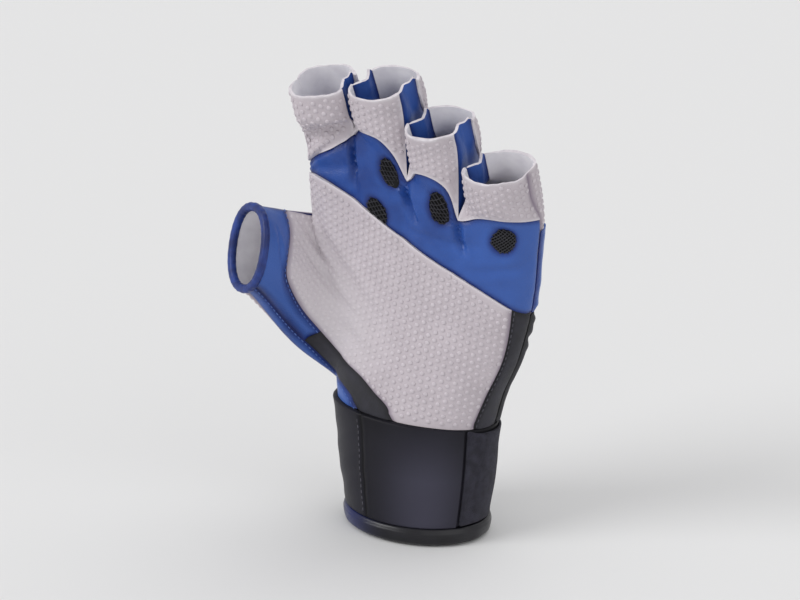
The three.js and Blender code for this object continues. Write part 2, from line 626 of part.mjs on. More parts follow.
const palmBlades = [
  blade(PALM, palmSeams.facing),
  blade(PALM, palmSeams.piping),
  blade(PALM, palmSeams.facingEnd, { extend: [0.5, 0.5] }),
  bandLowerBlade,
  blade(PALM, bandUpperSeam),
  blade(PALM, palmSeams.ulnarStrip, { extend: [2, 0] }),
  ...[1, 2, 3].map((k) => {
    const slit = { across: bounds[PALM][k], finger: k };
    return blade(PALM, [{ ...slit, up: crotchStation - 0.4 }, { ...slit, up: crotchStation + 5 }], { extend: [0, 0] });
  }),
];
const palmWall = thicken(palmSurface, 0, leatherThickness, seamGap / 2, whole);
const palmBodies = bodies(cutAll(palmWall, palmBlades));
const knuckleBand = cutAll(
  bodyAt(palmBodies, PALM, 0.66, 92),
  vents.map((vent) => ventPost(vent, ventRadius + seamGap, 12, 0)),
);
place("palm_panel", bodyAt(palmBodies, PALM, 0.5, 40), "whiteLeather");
place("thumb_facing", bodyAt(palmBodies, PALM, -0.9, 45), "blueLeather");
place("radial_strip", bodyAt(palmBodies, PALM, 0.16, 13), "charcoal");
place("radial_piping", bodyAt(palmBodies, PALM, -0.5, 5.5), "blueLeather");
place("ulnar_strip", bodyAt(palmBodies, PALM, 0.92, 40), "charcoal");
place("knuckle_band", bodies(knuckleBand)[0], "blueLeather");
fingers.forEach((finger, k) => {
  place("finger_tab_" + finger.name, bodyAt(palmBodies, PALM, lerp(bounds[PALM][k], bounds[PALM][k + 1], 0.5), 124), "whiteLeather");
});
for (const vent of vents) {
  const disc = ventPost(vent, ventRadius, ventThickness, leatherThickness / 2);
  const cut = vent.name === "vent_crescent" ? bodies(disc.subtract(blade(PALM, palmSeams.bandLower, { over: 4, under: 6 })), 5) : [disc];
  place(vent.name, cut[0], "mesh");
}

// Back
const backSurface = weld(gloveHalf(BACK));
const backBlades = [
  blade(BACK, backSeams.fingerPanel),
  blade(BACK, backSeams.gusset, { extend: [0, 2] }),
  blade(BACK, meshWindow.concat(meshWindow[0]), { closed: true }),
];
const backBodies = bodies(cutAll(thicken(backSurface, 0, leatherThickness, seamGap / 2, whole), backBlades));
place("back_panel", bodyAt(backBodies, BACK, 0.8, 45), "whiteLeather");
place("back_finger_panel", bodyAt(backBodies, BACK, 0.5, 95), "whiteLeather");
place("back_mesh", bodyAt(backBodies, BACK, 0.35, 45), "mesh");
place("thumb_web_gusset", bodyAt(backBodies, BACK, -0.9, 60), "blueLeather");

// Side walls between the fingers, cut clear of the palm and back leather
const wallClearance = 0.36;
const palmClear = thicken(palmSurface, wallClearance, leatherThickness + wallClearance, -wallClearance / 2, whole);
const backClear = thicken(backSurface, wallClearance, leatherThickness + wallClearance, -wallClearance / 2, whole);
wallPatches.forEach((patch, k) => {
  const wall = thicken(weld([patch]), 0, wallThickness, seamGap / 2, whole);
  place("fourchette_" + fingers[k].name + "_" + fingers[k + 1].name, bodies(cutAll(wall, [palmClear, backClear]))[0], "blueLeather");
});

// Bead round the thumb's mouth
const mouthSteps = 28;
const bead = [];
for (let i = 0; i < mouthSteps; i += 1) {
  const angle = (2 * Math.PI * i) / mouthSteps;
  const p = mouthPoint(angle);
  const tangent = unit(sub(mouthPoint(angle + 0.02), mouthPoint(angle - 0.02)));
  const outward = unit(cross(tangent, mouthNormal));
  const centre = [thumbMouth.x, thumbMouth.y, thumbMouth.z];
  const away = dot(outward, sub(p, centre)) > 0 ? outward : outward.map((v) => -v);
  const middle = add(add(p, away, -leatherThickness / 2), mouthNormal, seamGap + binding.height / 2);
  const loop = [];
  for (let j = 0; j < 6; j += 1) {
    const a = (2 * Math.PI * j) / 6;
    loop.push(add(add(middle, away, Math.cos(a) * binding.halfWidth), mouthNormal, (Math.sin(a) * binding.height) / 2));
  }
  bead.push(loop);
}
place("thumb_binding", loft(bead, true), "blueLeather");

// Cuff: an oval tube that stands a little proud of the leather
const cuffTop = handRows[0];
const topMiddle = (cuffTop.xLittle + cuffTop.xThumb) / 2;
const topHalf = (cuffTop.xLittle - cuffTop.xThumb) / 2;
function cuffPoint(angle, level, inset) {
  const a = rad(angle);
  const halfWidth = lerp(cuff.bottomHalfWidth, topHalf + cuff.proud, level) - inset;
  const halfDepth = lerp(cuff.bottomHalfDepth, cuffTop.palm + cuff.proud, level) - inset;
  return [lerp(cuff.bottomCentreX, topMiddle, level) + Math.sin(a) * halfWidth, Math.cos(a) * halfDepth];
}
const cuffTopZ = (angle) =>
  lerp(cuffTop.zThumb, cuffTop.zLittle, (1 + Math.sin(rad(angle)) * 1.05) / 2) - seamGap - 0.1;

// A wall of the cuff: sections of angle, outer and inner inset, low and high edge
function cuffWall(sections, ring) {
  return loft(
    sections.map(({ angle, outer, inner, low, high }) => {
      const at = (inset, z) => [...cuffPoint(angle, z / cuffTopZ(angle), inset), z];
      const middle = (low + high) / 2;
      return [at(outer, low), at(outer, middle), at(outer, high), at(inner, high), at(inner, middle), at(inner, low)];
    }),
    ring,
  );
}
const anglesBetween = (from, to, step) => {
  const n = Math.max(1, Math.round((to - from) / step));
  return Array.from({ length: n + 1 }, (_, i) => lerp(from, to, i / n));
};
const edgeAngle = 0.5;
const bandLow = cuff.edgeHeight + seamGap;
const bandSection = (inset) => (angle) => ({ angle, outer: inset, inner: cuff.thickness, low: bandLow, high: cuffTopZ(angle) });
place(
  "cuff_band",
  cuffWall(
    [
      ...anglesBetween(flap.fromAngle, flap.toAngle, 10).map(bandSection(flap.thickness + seamGap)),
      ...anglesBetween(flap.toAngle + edgeAngle, flap.fromAngle + 360 - edgeAngle, 10).map(bandSection(0)),
    ],
    true,
  ),
  "neoprene",
);
place(
  "closure_flap",
  cuffWall(
    anglesBetween(flap.fromAngle + edgeAngle, flap.toAngle - edgeAngle, 10).map((angle) => ({
      angle, outer: 0, inner: flap.thickness, low: bandLow, high: cuffTopZ(angle) - flap.topClear,
    })),
    false,
  ),
  "loopFabric",
);
place(
  "cuff_binding",
  cuffWall(
    anglesBetween(0, 350, 10).map((angle) => ({ angle, outer: -cuff.edgeProud, inner: cuff.thickness, low: 0, high: cuff.edgeHeight })),
    true,
  ),
  "edgeTape",
);
const patchAngles = anglesBetween(patch.fromAngle, patch.toAngle, 7);
place(
  "cuff_patch",
  cuffWall(
    patchAngles.map((angle, i) => {
      const atEnd = i === 0 || i === patchAngles.length - 1;
      const step = atEnd ? patch.corner : 0;
      return { angle, outer: -seamGap - patch.thickness, inner: -seamGap, low: patch.bottom + step, high: patch.top - step };
    }),
    false,
  ),
  "neoprene",
);

glove.name = "shooting_glove";
export default glove;
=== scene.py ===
import math
from types import SimpleNamespace

import bpy
import numpy as np
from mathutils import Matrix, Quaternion, Vector, kdtree
from mathutils.geometry import delaunay_2d_cdt


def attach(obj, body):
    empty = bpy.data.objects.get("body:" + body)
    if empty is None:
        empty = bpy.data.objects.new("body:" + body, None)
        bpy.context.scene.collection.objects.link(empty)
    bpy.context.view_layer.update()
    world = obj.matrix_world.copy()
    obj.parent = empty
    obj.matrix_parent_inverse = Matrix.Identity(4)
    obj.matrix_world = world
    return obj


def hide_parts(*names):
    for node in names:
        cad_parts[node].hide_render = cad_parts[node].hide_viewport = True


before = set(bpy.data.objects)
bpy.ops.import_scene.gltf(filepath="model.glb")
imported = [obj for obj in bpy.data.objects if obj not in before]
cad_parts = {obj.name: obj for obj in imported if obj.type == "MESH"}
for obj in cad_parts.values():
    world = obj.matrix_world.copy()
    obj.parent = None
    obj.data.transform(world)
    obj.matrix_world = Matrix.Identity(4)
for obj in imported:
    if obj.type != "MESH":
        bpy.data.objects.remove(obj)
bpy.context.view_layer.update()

mm = 0.001
palmSide = -1
backSide = 1

# The worn form in millimetres, as in the CAD: sections from the wrist to the finger crotches
handRows = [
    dict(station=0, z=(57, 53), x=(-39.5, 33.5), y=(0, 0), palm=25, back=25, square=0.92),
    dict(station=18, z=(76, 68), x=(-42, 37), y=(0, -1), palm=25, back=26, square=0.88),
    dict(station=40, z=(102, 86), x=(-47, 43.5), y=(-3, -4), palm=21, back=24, square=0.82),
    dict(station=70, z=(138, 112), x=(-52, 49), y=(-8, -8), palm=16, back=22, square=0.78),
    dict(station=106, z=(166, 148), x=(-54, 52), y=(-13, -14), palm=11, back=21, square=0.75),
]
crotches = {
    palmSide: dict(x=[-54, -31, -6, 17.5, 52], z=[167, 180, 163, 149, 149]),
    backSide: dict(x=[-54, -28, -3, 20, 52], z=[167, 180, 174, 160, 149]),
}
crotchLobe = {palmSide: 3.2, backSide: 2.6}
fingers = [
    dict(name="index", mouth=(-45, -25.5, 202.5), half=(12.9, 12.5), curl=24, splay=-8.5, yaw=-5, skew=0.12,
         palm=(-90, 72), back=(-90, 68)),
    dict(name="middle", mouth=(-17.4, -26, 205), half=(12.8, 12.5), curl=26, splay=-6, yaw=-8, skew=0.28,
         palm=(-76, 66), back=(-62, 74)),
    dict(name="ring", mouth=(8.4, -27, 191.5), half=(12.2, 12), curl=28, splay=-4, yaw=-8, skew=0.34,
         palm=(-76, 66), back=(-62, 74)),
    dict(name="little", mouth=(35.4, -27, 175.5), half=(13.6, 11.5), curl=28, splay=-3, yaw=-8, skew=0.3,
         palm=(-78, 90), back=(-62, 90)),
]
stall = dict(length=26, roundness=2.5)
thumb = dict(mouth=(-70, -37, 128), halfHeight=18.6, halfDepth=14, normal=(-0.62, -0.76, 0.2), lean=8,
             low=3, high=71, palm=0.27, back=0.22, sag=3)
crotchUp = 106.0
mouthUp = crotchUp + stall["length"]


def unit(v):
    v = np.asarray(v, float)
    return v / np.maximum(np.linalg.norm(v, axis=-1, keepdims=True), 1e-9)


def signedPower(v, p):
    return np.sign(v) * np.abs(v) ** p


def hermite(p0, p1, m0, m1, t):
    # a cubic from p0 to p1 with slopes m0 and m1
    return (2*t**3 - 3*t**2 + 1)*p0 + (t**3 - 2*t**2 + t)*m0 + (3*t**2 - 2*t**3)*p1 + (t**3 - t**2)*m1


def smoothTable(xs, ys, x):
    # a smooth curve through a table, read at x
    xs = np.asarray(xs, float)
    ys = np.asarray(ys, float)
    x = np.clip(x, xs[0], xs[-1])
    slope = np.gradient(ys, xs)
    i = np.clip(np.searchsorted(xs, x, side="right") - 1, 0, len(xs) - 2)
    h = xs[i + 1] - xs[i]
    return hermite(ys[i], ys[i + 1], slope[i] * h, slope[i + 1] * h, (x - xs[i]) / h)


def crotchShares(side):
    # where the crotches lie, as shares from the thumb edge to the little finger edge
    low, high = handRows[4]["x"]
    return np.array([math.acos(np.clip(-(x - (low + high) / 2) / ((high - low) / 2), -1, 1)) / math.pi
                     for x in crotches[side]["x"]])


fingerBounds = {side: crotchShares(side) for side in (palmSide, backSide)}


def fingerShare(share, side):
    # which finger a share belongs to, and how far across that finger it is
    bounds = fingerBounds[side]
    k = np.clip(np.searchsorted(bounds, share, side="right") - 1, 0, 3)
    return k, (share - bounds[k]) / (bounds[k + 1] - bounds[k])


def handPoint(i, share, side):
    # a point on one section of the hand
    row = handRows[i]
    u = -np.cos(np.pi * share)
    bulge = np.clip(np.sin(np.pi * share), 0, 1) ** row["square"]
    x, y, z = [(row[c][0] + row[c][1]) / 2 + (row[c][1] - row[c][0]) / 2 * u for c in "xyz"]
    if i == 4:
        z = smoothTable(fingerBounds[side], crotches[side]["z"], share)
    y = y + side * (row["palm"] if side < 0 else row["back"]) * bulge
    if i >= 3:
        t = fingerShare(share, side)[1]
        y = y + side * crotchLobe[side] * (1.0 if i == 4 else 0.25) * (4 * t * (1 - t) - 0.6) * bulge
    return np.stack([x, y, z], -1)


def stallPoint(k, angle, level, side):
    # a point on a finger stall: level 1 is its mouth and 0 is half way down to the crotch
    finger = fingers[k]
    curl, splay, yaw = [math.radians(finger[c]) for c in ("curl", "splay", "yaw")]
    axis = unit([math.sin(splay) * math.cos(curl), -math.sin(curl), math.cos(curl) * math.cos(splay)])
    flat = np.array([math.cos(yaw), math.sin(yaw), 0.0])
    across = unit(flat - axis * (flat @ axis))
    toPalm = np.cross(across, axis) - across * finger["skew"]
    level = np.asarray(level, float)
    centre = np.array(finger["mouth"], float) - np.multiply.outer(stall["length"] * 0.5 * (1 - level), axis)
    power = 2 / stall["roundness"]
    wide = signedPower(np.sin(np.radians(angle)), power) * finger["half"][0] * (1 - 0.02 * (1 - level))
    deep = signedPower(np.cos(np.radians(angle)), power) * finger["half"][1] * (1 + 0.06 * (1 - level))
    return centre + np.multiply.outer(wide, across) - side * np.multiply.outer(deep, toPalm)


stations = np.array([row["station"] for row in handRows] + [crotchUp + stall["length"] / 2, mouthUp], float)


def sheetPoint(share, up, side):
    # the hand and the finger stalls as one sheet through all the sections
    shape = share.shape
    share = share.ravel()
    up = up.ravel()
    k, t = fingerShare(share, side)
    rows = [handPoint(i, share, side) for i in range(5)]
    for level in (0, 1):
        row = np.zeros((share.size, 3))
        for j in range(4):
            low, high = fingers[j]["palm" if side < 0 else "back"]
            row[k == j] = stallPoint(j, low + (high - low) * t[k == j], level, side)
        rows.append(row)
    p = np.array(rows)
    h = np.diff(stations)
    slope = np.zeros_like(p)
    slope[0] = (p[1] - p[0]) / h[0]
    for i in (1, 2, 3):
        before, after = (p[i] - p[i - 1]) / h[i - 1], (p[i + 1] - p[i]) / h[i]
        slope[i] = (before * h[i] + after * h[i - 1]) / (h[i - 1] + h[i])
    slope[4] = (p[4] - p[3]) / h[3]
    slope[5] = (p[6] - p[4]) / (h[4] + h[5])
    slope[6] = (p[6] - p[5]) / h[5]
    i = np.clip(np.searchsorted(stations, up, side="right") - 1, 0, 5)
    n = np.arange(share.size)
    span = h[i][:, None]
    at = ((up - stations[i]) / h[i])[:, None]
    points = hermite(p[i, n], p[i + 1, n], slope[i, n] * span, slope[i + 1, n] * span, at)
    return points.reshape(shape + (3,))


thumbNormal = unit(thumb["normal"])


def thumbMouthPoint(angle):
    # a point on the oval mouth of the thumb
    up0 = unit(np.array([0.0, 0, 1]) - thumbNormal * thumbNormal[2])
    side0 = np.cross(thumbNormal, up0)
    side0 = side0 * np.sign(side0[0])
    lean = math.radians(thumb["lean"])
    up = up0 * math.cos(lean) - side0 * math.sin(lean)
    across = side0 * math.cos(lean) + up0 * math.sin(lean)
    high = signedPower(np.cos(angle), 0.9) * thumb["halfHeight"]
    wide = signedPower(np.sin(angle), 0.9) * thumb["halfDepth"]
    return np.array(thumb["mouth"], float) - np.multiply.outer(high, up) + np.multiply.outer(wide, across)


def rootShare(up, side):
    # where the thumb leaves the hand, and how far round its mouth that is
    turn = np.clip((up - thumb["low"]) / (thumb["high"] - thumb["low"]), 0, 1)
    return (thumb["palm"] if side < 0 else thumb["back"]) * np.sin(np.pi * turn), turn


def thumbPoint(up, out, side):
    # the thumb stall: out is 0 at its root and 1 at its mouth
    share, turn = rootShare(up, side)
    held = np.clip(up, thumb["low"], thumb["high"])
    start = sheetPoint(share, held, side)
    inward = sheetPoint(share + 0.02, held, side)
    end = thumbMouthPoint(np.pi * turn if side < 0 else 2 * np.pi - np.pi * turn)
    chord = end - start
    reach = np.linalg.norm(chord, axis=-1, keepdims=True)
    straight = unit(chord)
    follow = np.clip(np.sin(np.pi * turn) ** 2 * 1.3, 0, 1)[..., None]
    leave = unit(unit(start - inward) * follow + straight * (1 - follow))
    square = (0.6 * turn)[..., None]
    arrive = thumbNormal * square + straight * (1 - square)
    sag = thumb["sag"] * (1 - turn) ** 2 * np.sin(np.pi * out) ** 2
    hang = np.stack([-0.6 * sag, 0 * sag, -0.8 * sag], -1)
    return hermite(start, end, leave * reach * 0.9, arrive * reach * 0.9, out[..., None]) + hang


# A flat plan of each half of the glove, roughly in millimetres: x across, y up
acrossSize = 115.0
thumbSize = 55.0


def toPlan(across, up):
    across = np.asarray(across, float)
    x = np.where(across < 0, across * thumbSize, across * acrossSize)
    return np.stack([x, np.broadcast_to(np.asarray(up, float), x.shape)], -1)


def facePoint(side, plan):
    x, up = plan[..., 0], plan[..., 1]
    across = np.where(x < 0, x / thumbSize, x / acrossSize)
    share = rootShare(up, side)[0]
    onHand = sheetPoint(share + (1 - share) * np.clip(across, 0, 1), up, side)
    onThumb = thumbPoint(up, np.clip(-across, 0, 1), side)
    return np.where((across < 0)[..., None], onThumb, onHand)


def faceNormal(side, plan):
    e = 0.25
    dx = facePoint(side, plan + [e, 0]) - facePoint(side, plan - [e, 0])
    dy = facePoint(side, plan + [0, e]) - facePoint(side, plan - [0, e])
    return unit(np.cross(dx, dy) if side < 0 else np.cross(dy, dx))


print("form ready")

# Seams as (across, up), as in the CAD
bandStart, panelStart, panelEnd = 94, 95, 72.5  # where the seams cross the hand's edges
seamTables = {
    "facing": (palmSide, [(-0.5, 71), (-0.52, 61), (-0.7, 46), (-0.73, 35), (-0.56, 28.7), (-0.27, 24.8),
                          (0.02, 20), (0.2, 16), (0.32, 11), (0.44, 4.6), (0.47, 0)]),
    "piping": (palmSide, [(-1, 14.5), (-0.55, 14), (-0.29, 12.4), (-0.08, 9.6), (0, 8.9), (0.14, 7.6),
                          (0.26, 4), (0.3, 0)]),
    "bandLower": (palmSide, [(0, 94), (0.1, 91), (0.25, 86.5), (0.4, 83.5), (0.55, 78.5), (0.7, 72.2),
                             (0.83, 67), (1, 66)]),
    "ulnarStrip": (palmSide, [(0.82, 0), (0.81, 40), (0.83, 67)]),
    "fingerPanel": (backSide, [(0, 95), (0.03, 91), (0.08, 87), (0.16, 84), (0.45, 80.4), (0.8, 76),
                               (1, 72.5)]),
    "gusset": (backSide, [(0.16, 84), (0.07, 79), (0.015, 72), (-0.1, 66), (-0.35, 64), (-0.6, 64.5),
                          (-0.76, 61), (-0.82, 50), (-0.84, 36), (-1, 27)]),
    "meshWindow": (backSide, [(0.66, 54), (0.62, 63), (0.52, 66), (0.36, 64.5), (0.2, 61.5), (0.1, 59),
                              (0.04, 54.5), (0.018, 48), (0.03, 40.5), (0.1, 33), (0.26, 27), (0.42, 24.5),
                              (0.54, 26), (0.62, 36)]),
}
bandUpper = [
    [(0, -5), (0.35, -7.5), (0.7, -7), (0.9, -3.5), (1, -0.15)],
    [(0, -0.15), (0.25, 6.5), (0.5, 8.5), (0.8, 5), (1, -0.15)],
    [(0, -0.15), (0.25, 7), (0.5, 9), (0.8, 7), (1, -0.15)],
    [(0, -0.15), (0.15, 5), (0.4, 7.5), (0.75, 5), (1, 3)],
]
vents = [
    dict(name="vent_middle", across=0.424, up=103.8),
    dict(name="vent_ring", across=0.564, up=105.2),
    dict(name="vent_little", across=0.768, up=102.6),
    dict(name="vent_crescent", across=0.392, up=86),
]
ventRadius = 5.2
planPitch = 1.15  # size of the fine triangles
slitHalf = 0.02  # keeps the two edges of a finger slit apart in the plan


def spline(points, closed=False, steps=10):
    # a smooth curve through the points, and where each of them lies on it
    p = np.asarray(points, float)
    n = len(p)
    out = []
    knots = []
    for i in range(n if closed else n - 1):
        a, b = p[i], p[(i + 1) % n]
        before = p[i - 1] if closed or i > 0 else 2 * a - b
        after = p[(i + 2) % n] if closed or i < n - 2 else 2 * b - a
        span = np.linalg.norm(b - a)
        ma = unit((b - a) / span + (a - before) / max(np.linalg.norm(a - before), 1e-6)) * span
        mb = unit((b - a) / span + (after - b) / max(np.linalg.norm(after - b), 1e-6)) * span
        knots.append(len(out))
        t = np.linspace(0, 1, steps, endpoint=False)[:, None]
        out.extend(hermite(a, b, ma * 0.9, mb * 0.9, t))
    if not closed:
        knots.append(len(out))
        out.append(p[-1])
    return np.array(out), knots


seams = {}
for name, (side, rows) in seamTables.items():
    table = np.array(rows, float)
    seams[name] = spline(toPlan(table[:, 0], table[:, 1]), closed=name == "meshWindow")


def seamPart(name, first=0, last=-1):
    # the stretch of a seam between two points of its table
    points, knots = seams[name]
    return points[knots[first]:knots[last] + 1]


def line(a, b, steps=24):
    # straight from one (across, up) to another
    t = np.linspace(0, 1, steps)[:, None]
    a = toPlan(*a)
    b = toPlan(*b)
    return a + (b - a) * t


# The charcoal strip starts where the blue facing ends
pipingCurve = seams["piping"][0]
facingCorner = seamPart("facing", 5, 5)[0]
pipingMeet = int(np.argmin(np.linalg.norm(pipingCurve - toPlan(-0.33, 12.6), axis=1)))
facingEnd = np.linspace(pipingCurve[pipingMeet], facingCorner, 12)


def bandUpperPart(k):
    # the band's upper edge on one finger
    low, high = fingerBounds[palmSide][k], fingerBounds[palmSide][k + 1]
    rows = np.array(bandUpper[k], float)
    x = (low + (high - low) * rows[:, 0]) * acrossSize
    x[0] += slitHalf if k > 0 else 0
    x[-1] -= slitHalf if k < 3 else 0
    return spline(np.stack([x, crotchUp + rows[:, 1]], -1))[0]


bandUpperCurves = [bandUpperPart(k) for k in range(4)]


def ventCircle(vent, radius, steps=40):
    # a circle on the leather, drawn in the plan
    centre = toPlan(vent["across"], vent["up"])
    e = 0.5
    stretch = []
    for step in (np.array([e, 0]), np.array([0, e])):
        apart = facePoint(palmSide, centre + step) - facePoint(palmSide, centre - step)
        stretch.append(np.linalg.norm(apart) / (2 * e))
    angle = np.linspace(0, 2 * np.pi, steps, endpoint=False)
    return centre + radius / np.array(stretch) * np.stack([np.cos(angle), np.sin(angle)], -1)


def closedLoop(loop):
    return np.concatenate([loop, loop[:1]])


def insideLoop(points, loop):
    x, y = points[:, 0][:, None], points[:, 1][:, None]
    a = loop
    b = np.roll(loop, -1, axis=0)
    with np.errstate(divide="ignore", invalid="ignore"):
        crossing = (a[:, 0] - b[:, 0]) * (y - b[:, 1]) / (a[:, 1] - b[:, 1]) + b[:, 0]
    hit = ((a[:, 1] > y) != (b[:, 1] > y)) & (x < crossing)
    return hit.sum(1) % 2 == 1


def aroundVent(curve, circle):
    # the curve leaves its line and goes round the upper part of a vent
    inside = np.nonzero(insideLoop(curve, circle))[0]
    first, last = inside[0] - 1, inside[-1] + 1
    start = int(np.argmin(np.linalg.norm(circle - curve[first], axis=1)))
    end = int(np.argmin(np.linalg.norm(circle - curve[last], axis=1)))
    n = len(circle)
    walk = [(start - i) % n for i in range((start - end) % n + 1)]
    return np.concatenate([curve[:first + 1], circle[walk], curve[last:]])


def pieceOutline(*runs):
    # runs are (curve, kind): seam sinks to the stitches, lap is a cut edge that lies over its neighbour,
    # raw is a cut edge in the open, tuck goes under something
    return [(np.asarray(curve, float), kind) for curve, kind in runs]


bandLowerCurve = seams["bandLower"][0]
bandLowerNotched = aroundVent(bandLowerCurve, ventCircle(vents[3], ventRadius))


def mouthRun(side, k):
    # the two ends of a finger's mouth in the plan
    bounds = fingerBounds[side] * acrossSize
    low = bounds[k] + (slitHalf if k > 0 else 0)
    high = bounds[k + 1] - (slitHalf if k < 3 else 0)
    return low, high


def straight(a, b, steps=24):
    t = np.linspace(0, 1, steps)[:, None]
    return np.array(a, float) + (np.array(b, float) - np.array(a, float)) * t


def tabOutline(k):
    low, high = mouthRun(palmSide, k)
    curve = bandUpperCurves[k]
    wave = np.linspace(low, high, 30)
    top = np.stack([wave, mouthUp + 0.45 * np.sin(wave * 0.33 + 2 * k) + 0.15 * np.sin(wave * 1.3 + k)], -1)
    return pieceOutline(
        (curve, "lap"),
        (straight(curve[-1], (high, top[-1][1])), "lap" if k < 3 else "seam"),
        (top[::-1], "raw"),
        (straight((low, top[0][1]), curve[0]), "lap" if k > 0 else "seam"),
    )


def fingerPanelOutline():
    runs = [(seams["fingerPanel"][0], "lap"), (line((1, panelEnd), (1, mouthUp)), "seam")]
    for k in (3, 2, 1, 0):
        low, high = mouthRun(backSide, k)
        wave = np.linspace(high, low, 30)
        top = mouthUp + 0.4 * np.sin(wave * 0.3 + 2 * k) + 0.15 * np.sin(wave * 1.1 + k)
        runs.append((np.stack([wave, top], -1), "raw"))
        if k > 0:
            gap = fingerBounds[backSide][k] * acrossSize
            runs.append((straight((low, runs[-1][0][-1][1]), (gap, crotchUp)), "lap"))
            runs.append((straight((gap, crotchUp), (gap - slitHalf, mouthUp)), "lap"))
    runs.append((straight(runs[-1][0][-1], (0, panelStart)), "seam"))
    return pieceOutline(*runs)


# The strip and the band turn round the little finger edge on to the back for a few millimetres
wrap = dict(across=0.928, lift=0.75, thickness=0.4, stripTop=65.6, bandTop=104)


def wrapOutline(low, high):
    # a narrow lap beside the little finger edge, with a slightly uneven cut
    edge = wrap["across"]
    table = np.array([(edge, low), (edge + 0.004, (low * 2 + high) / 3),
                      (edge - 0.003, (low + high * 2) / 3), (edge, high)], float)
    curve = spline(toPlan(table[:, 0], table[:, 1]))[0]
    return pieceOutline((line((edge, low), (1, low)), "tuck"), (line((1, low), (1, high), 60), "seam"),
                        (line((1, high), (edge, high)), "tuck"), (curve[::-1], "lap"))


outlines = {
    "radial_piping": (palmSide, pieceOutline(
        (line((-1, 3), (-1, 14.5)), "tuck"), (pipingCurve, "seam"), (line((0.3, 0), (0, 0)), "tuck"),
        (line((0, 0), (0, 3)), "seam"), (line((0, 3), (-1, 3), 60), "seam"))),
    "thumb_facing": (palmSide, pieceOutline(
        (line((-1, 14.5), (-1, 71), 60), "tuck"), (line((-1, 71), (-0.5, 71)), "seam"),
        (seamPart("facing", 0, 5), "seam"), (facingEnd[::-1], "seam"),
        (pipingCurve[pipingMeet::-1], "seam"))),
    "radial_strip": (palmSide, pieceOutline(
        (seamPart("facing", 5, 10), "seam"), (line((0.47, 0), (0.3, 0)), "tuck"),
        (pipingCurve[:pipingMeet - 1:-1], "seam"), (facingEnd, "seam"))),
    "palm_panel": (palmSide, pieceOutline(
        (seamPart("facing", 0, 10)[::-1], "seam"), (line((-0.5, 71), (0, 71)), "seam"),
        (line((0, 71), (0, bandStart)), "seam"), (seamPart("bandLower", 0, 6), "lap"),
        (seams["ulnarStrip"][0][::-1], "seam"), (line((0.82, 0), (0.47, 0)), "tuck"))),
    "ulnar_strip": (palmSide, pieceOutline(
        (seams["ulnarStrip"][0], "seam"), (seamPart("bandLower", 6, 7), "seam"),
        (line((1, 66), (1, 0), 60), "seam"), (line((1, 0), (0.82, 0)), "tuck"))),
    "knuckle_band": (palmSide, pieceOutline(
        (bandLowerNotched, "seam"), (line((1, 66), (1, 109), 40), "seam"),
        *[(bandUpperCurves[k][::-1], "seam") for k in (3, 2, 1, 0)],
        (line((0, 101), (0, bandStart)), "seam"))),
    "back_panel": (backSide, pieceOutline(
        (line((0, 0), (1, 0), 100), "tuck"), (line((1, 0), (1, panelEnd), 60), "seam"),
        (seamPart("fingerPanel", 3, 6)[::-1], "seam"), (seams["gusset"][0], "seam"),
        (line((-1, 27), (-1, 3)), "tuck"), (line((-1, 3), (0, 3), 60), "seam"),
        (line((0, 3), (0, 0)), "seam"))),
    "thumb_web_gusset": (backSide, pieceOutline(
        (seamPart("fingerPanel", 0, 3), "seam"), (seams["gusset"][0], "seam"),
        (line((-1, 27), (-1, 71), 50), "tuck"), (line((-1, 71), (0, 71), 50), "seam"),
        (line((0, 71), (0, panelStart)), "seam"))),
    "back_finger_panel": (backSide, fingerPanelOutline()),
    "back_mesh": (backSide, pieceOutline((seams["meshWindow"][0], "tuck"))),
    **{"finger_tab_" + fingers[k]["name"]: (palmSide, tabOutline(k)) for k in range(4)},
}
holes = {
    "knuckle_band": [ventCircle(vent, ventRadius) for vent in vents[:3]],
    "back_panel": [seams["meshWindow"][0]],
}


def resample(curve, pitch):
    # the curve again, with even steps of about this pitch
    steps = np.linalg.norm(np.diff(curve, axis=0), axis=1)
    keep = np.concatenate([[True], steps > 1e-7])
    curve = curve[keep]
    along = np.concatenate([[0], np.cumsum(np.linalg.norm(np.diff(curve, axis=0), axis=1))])
    n = max(1, int(round(along[-1] / pitch)))
    at = np.linspace(0, along[-1], n + 1)
    return np.stack([np.interp(at, along, curve[:, c]) for c in (0, 1)], -1)


def nearestDistance(points, targets):
    # how far the nearest target is, and which one, in batches to save memory
    out = np.empty(len(points))
    which = np.empty(len(points), int)
    for i in range(0, len(points), 3000):
        d = ((points[i:i + 3000, None] - targets[None]) ** 2).sum(-1)
        which[i:i + 3000] = d.argmin(1)
        out[i:i + 3000] = np.sqrt(d.min(1))
    return out, which


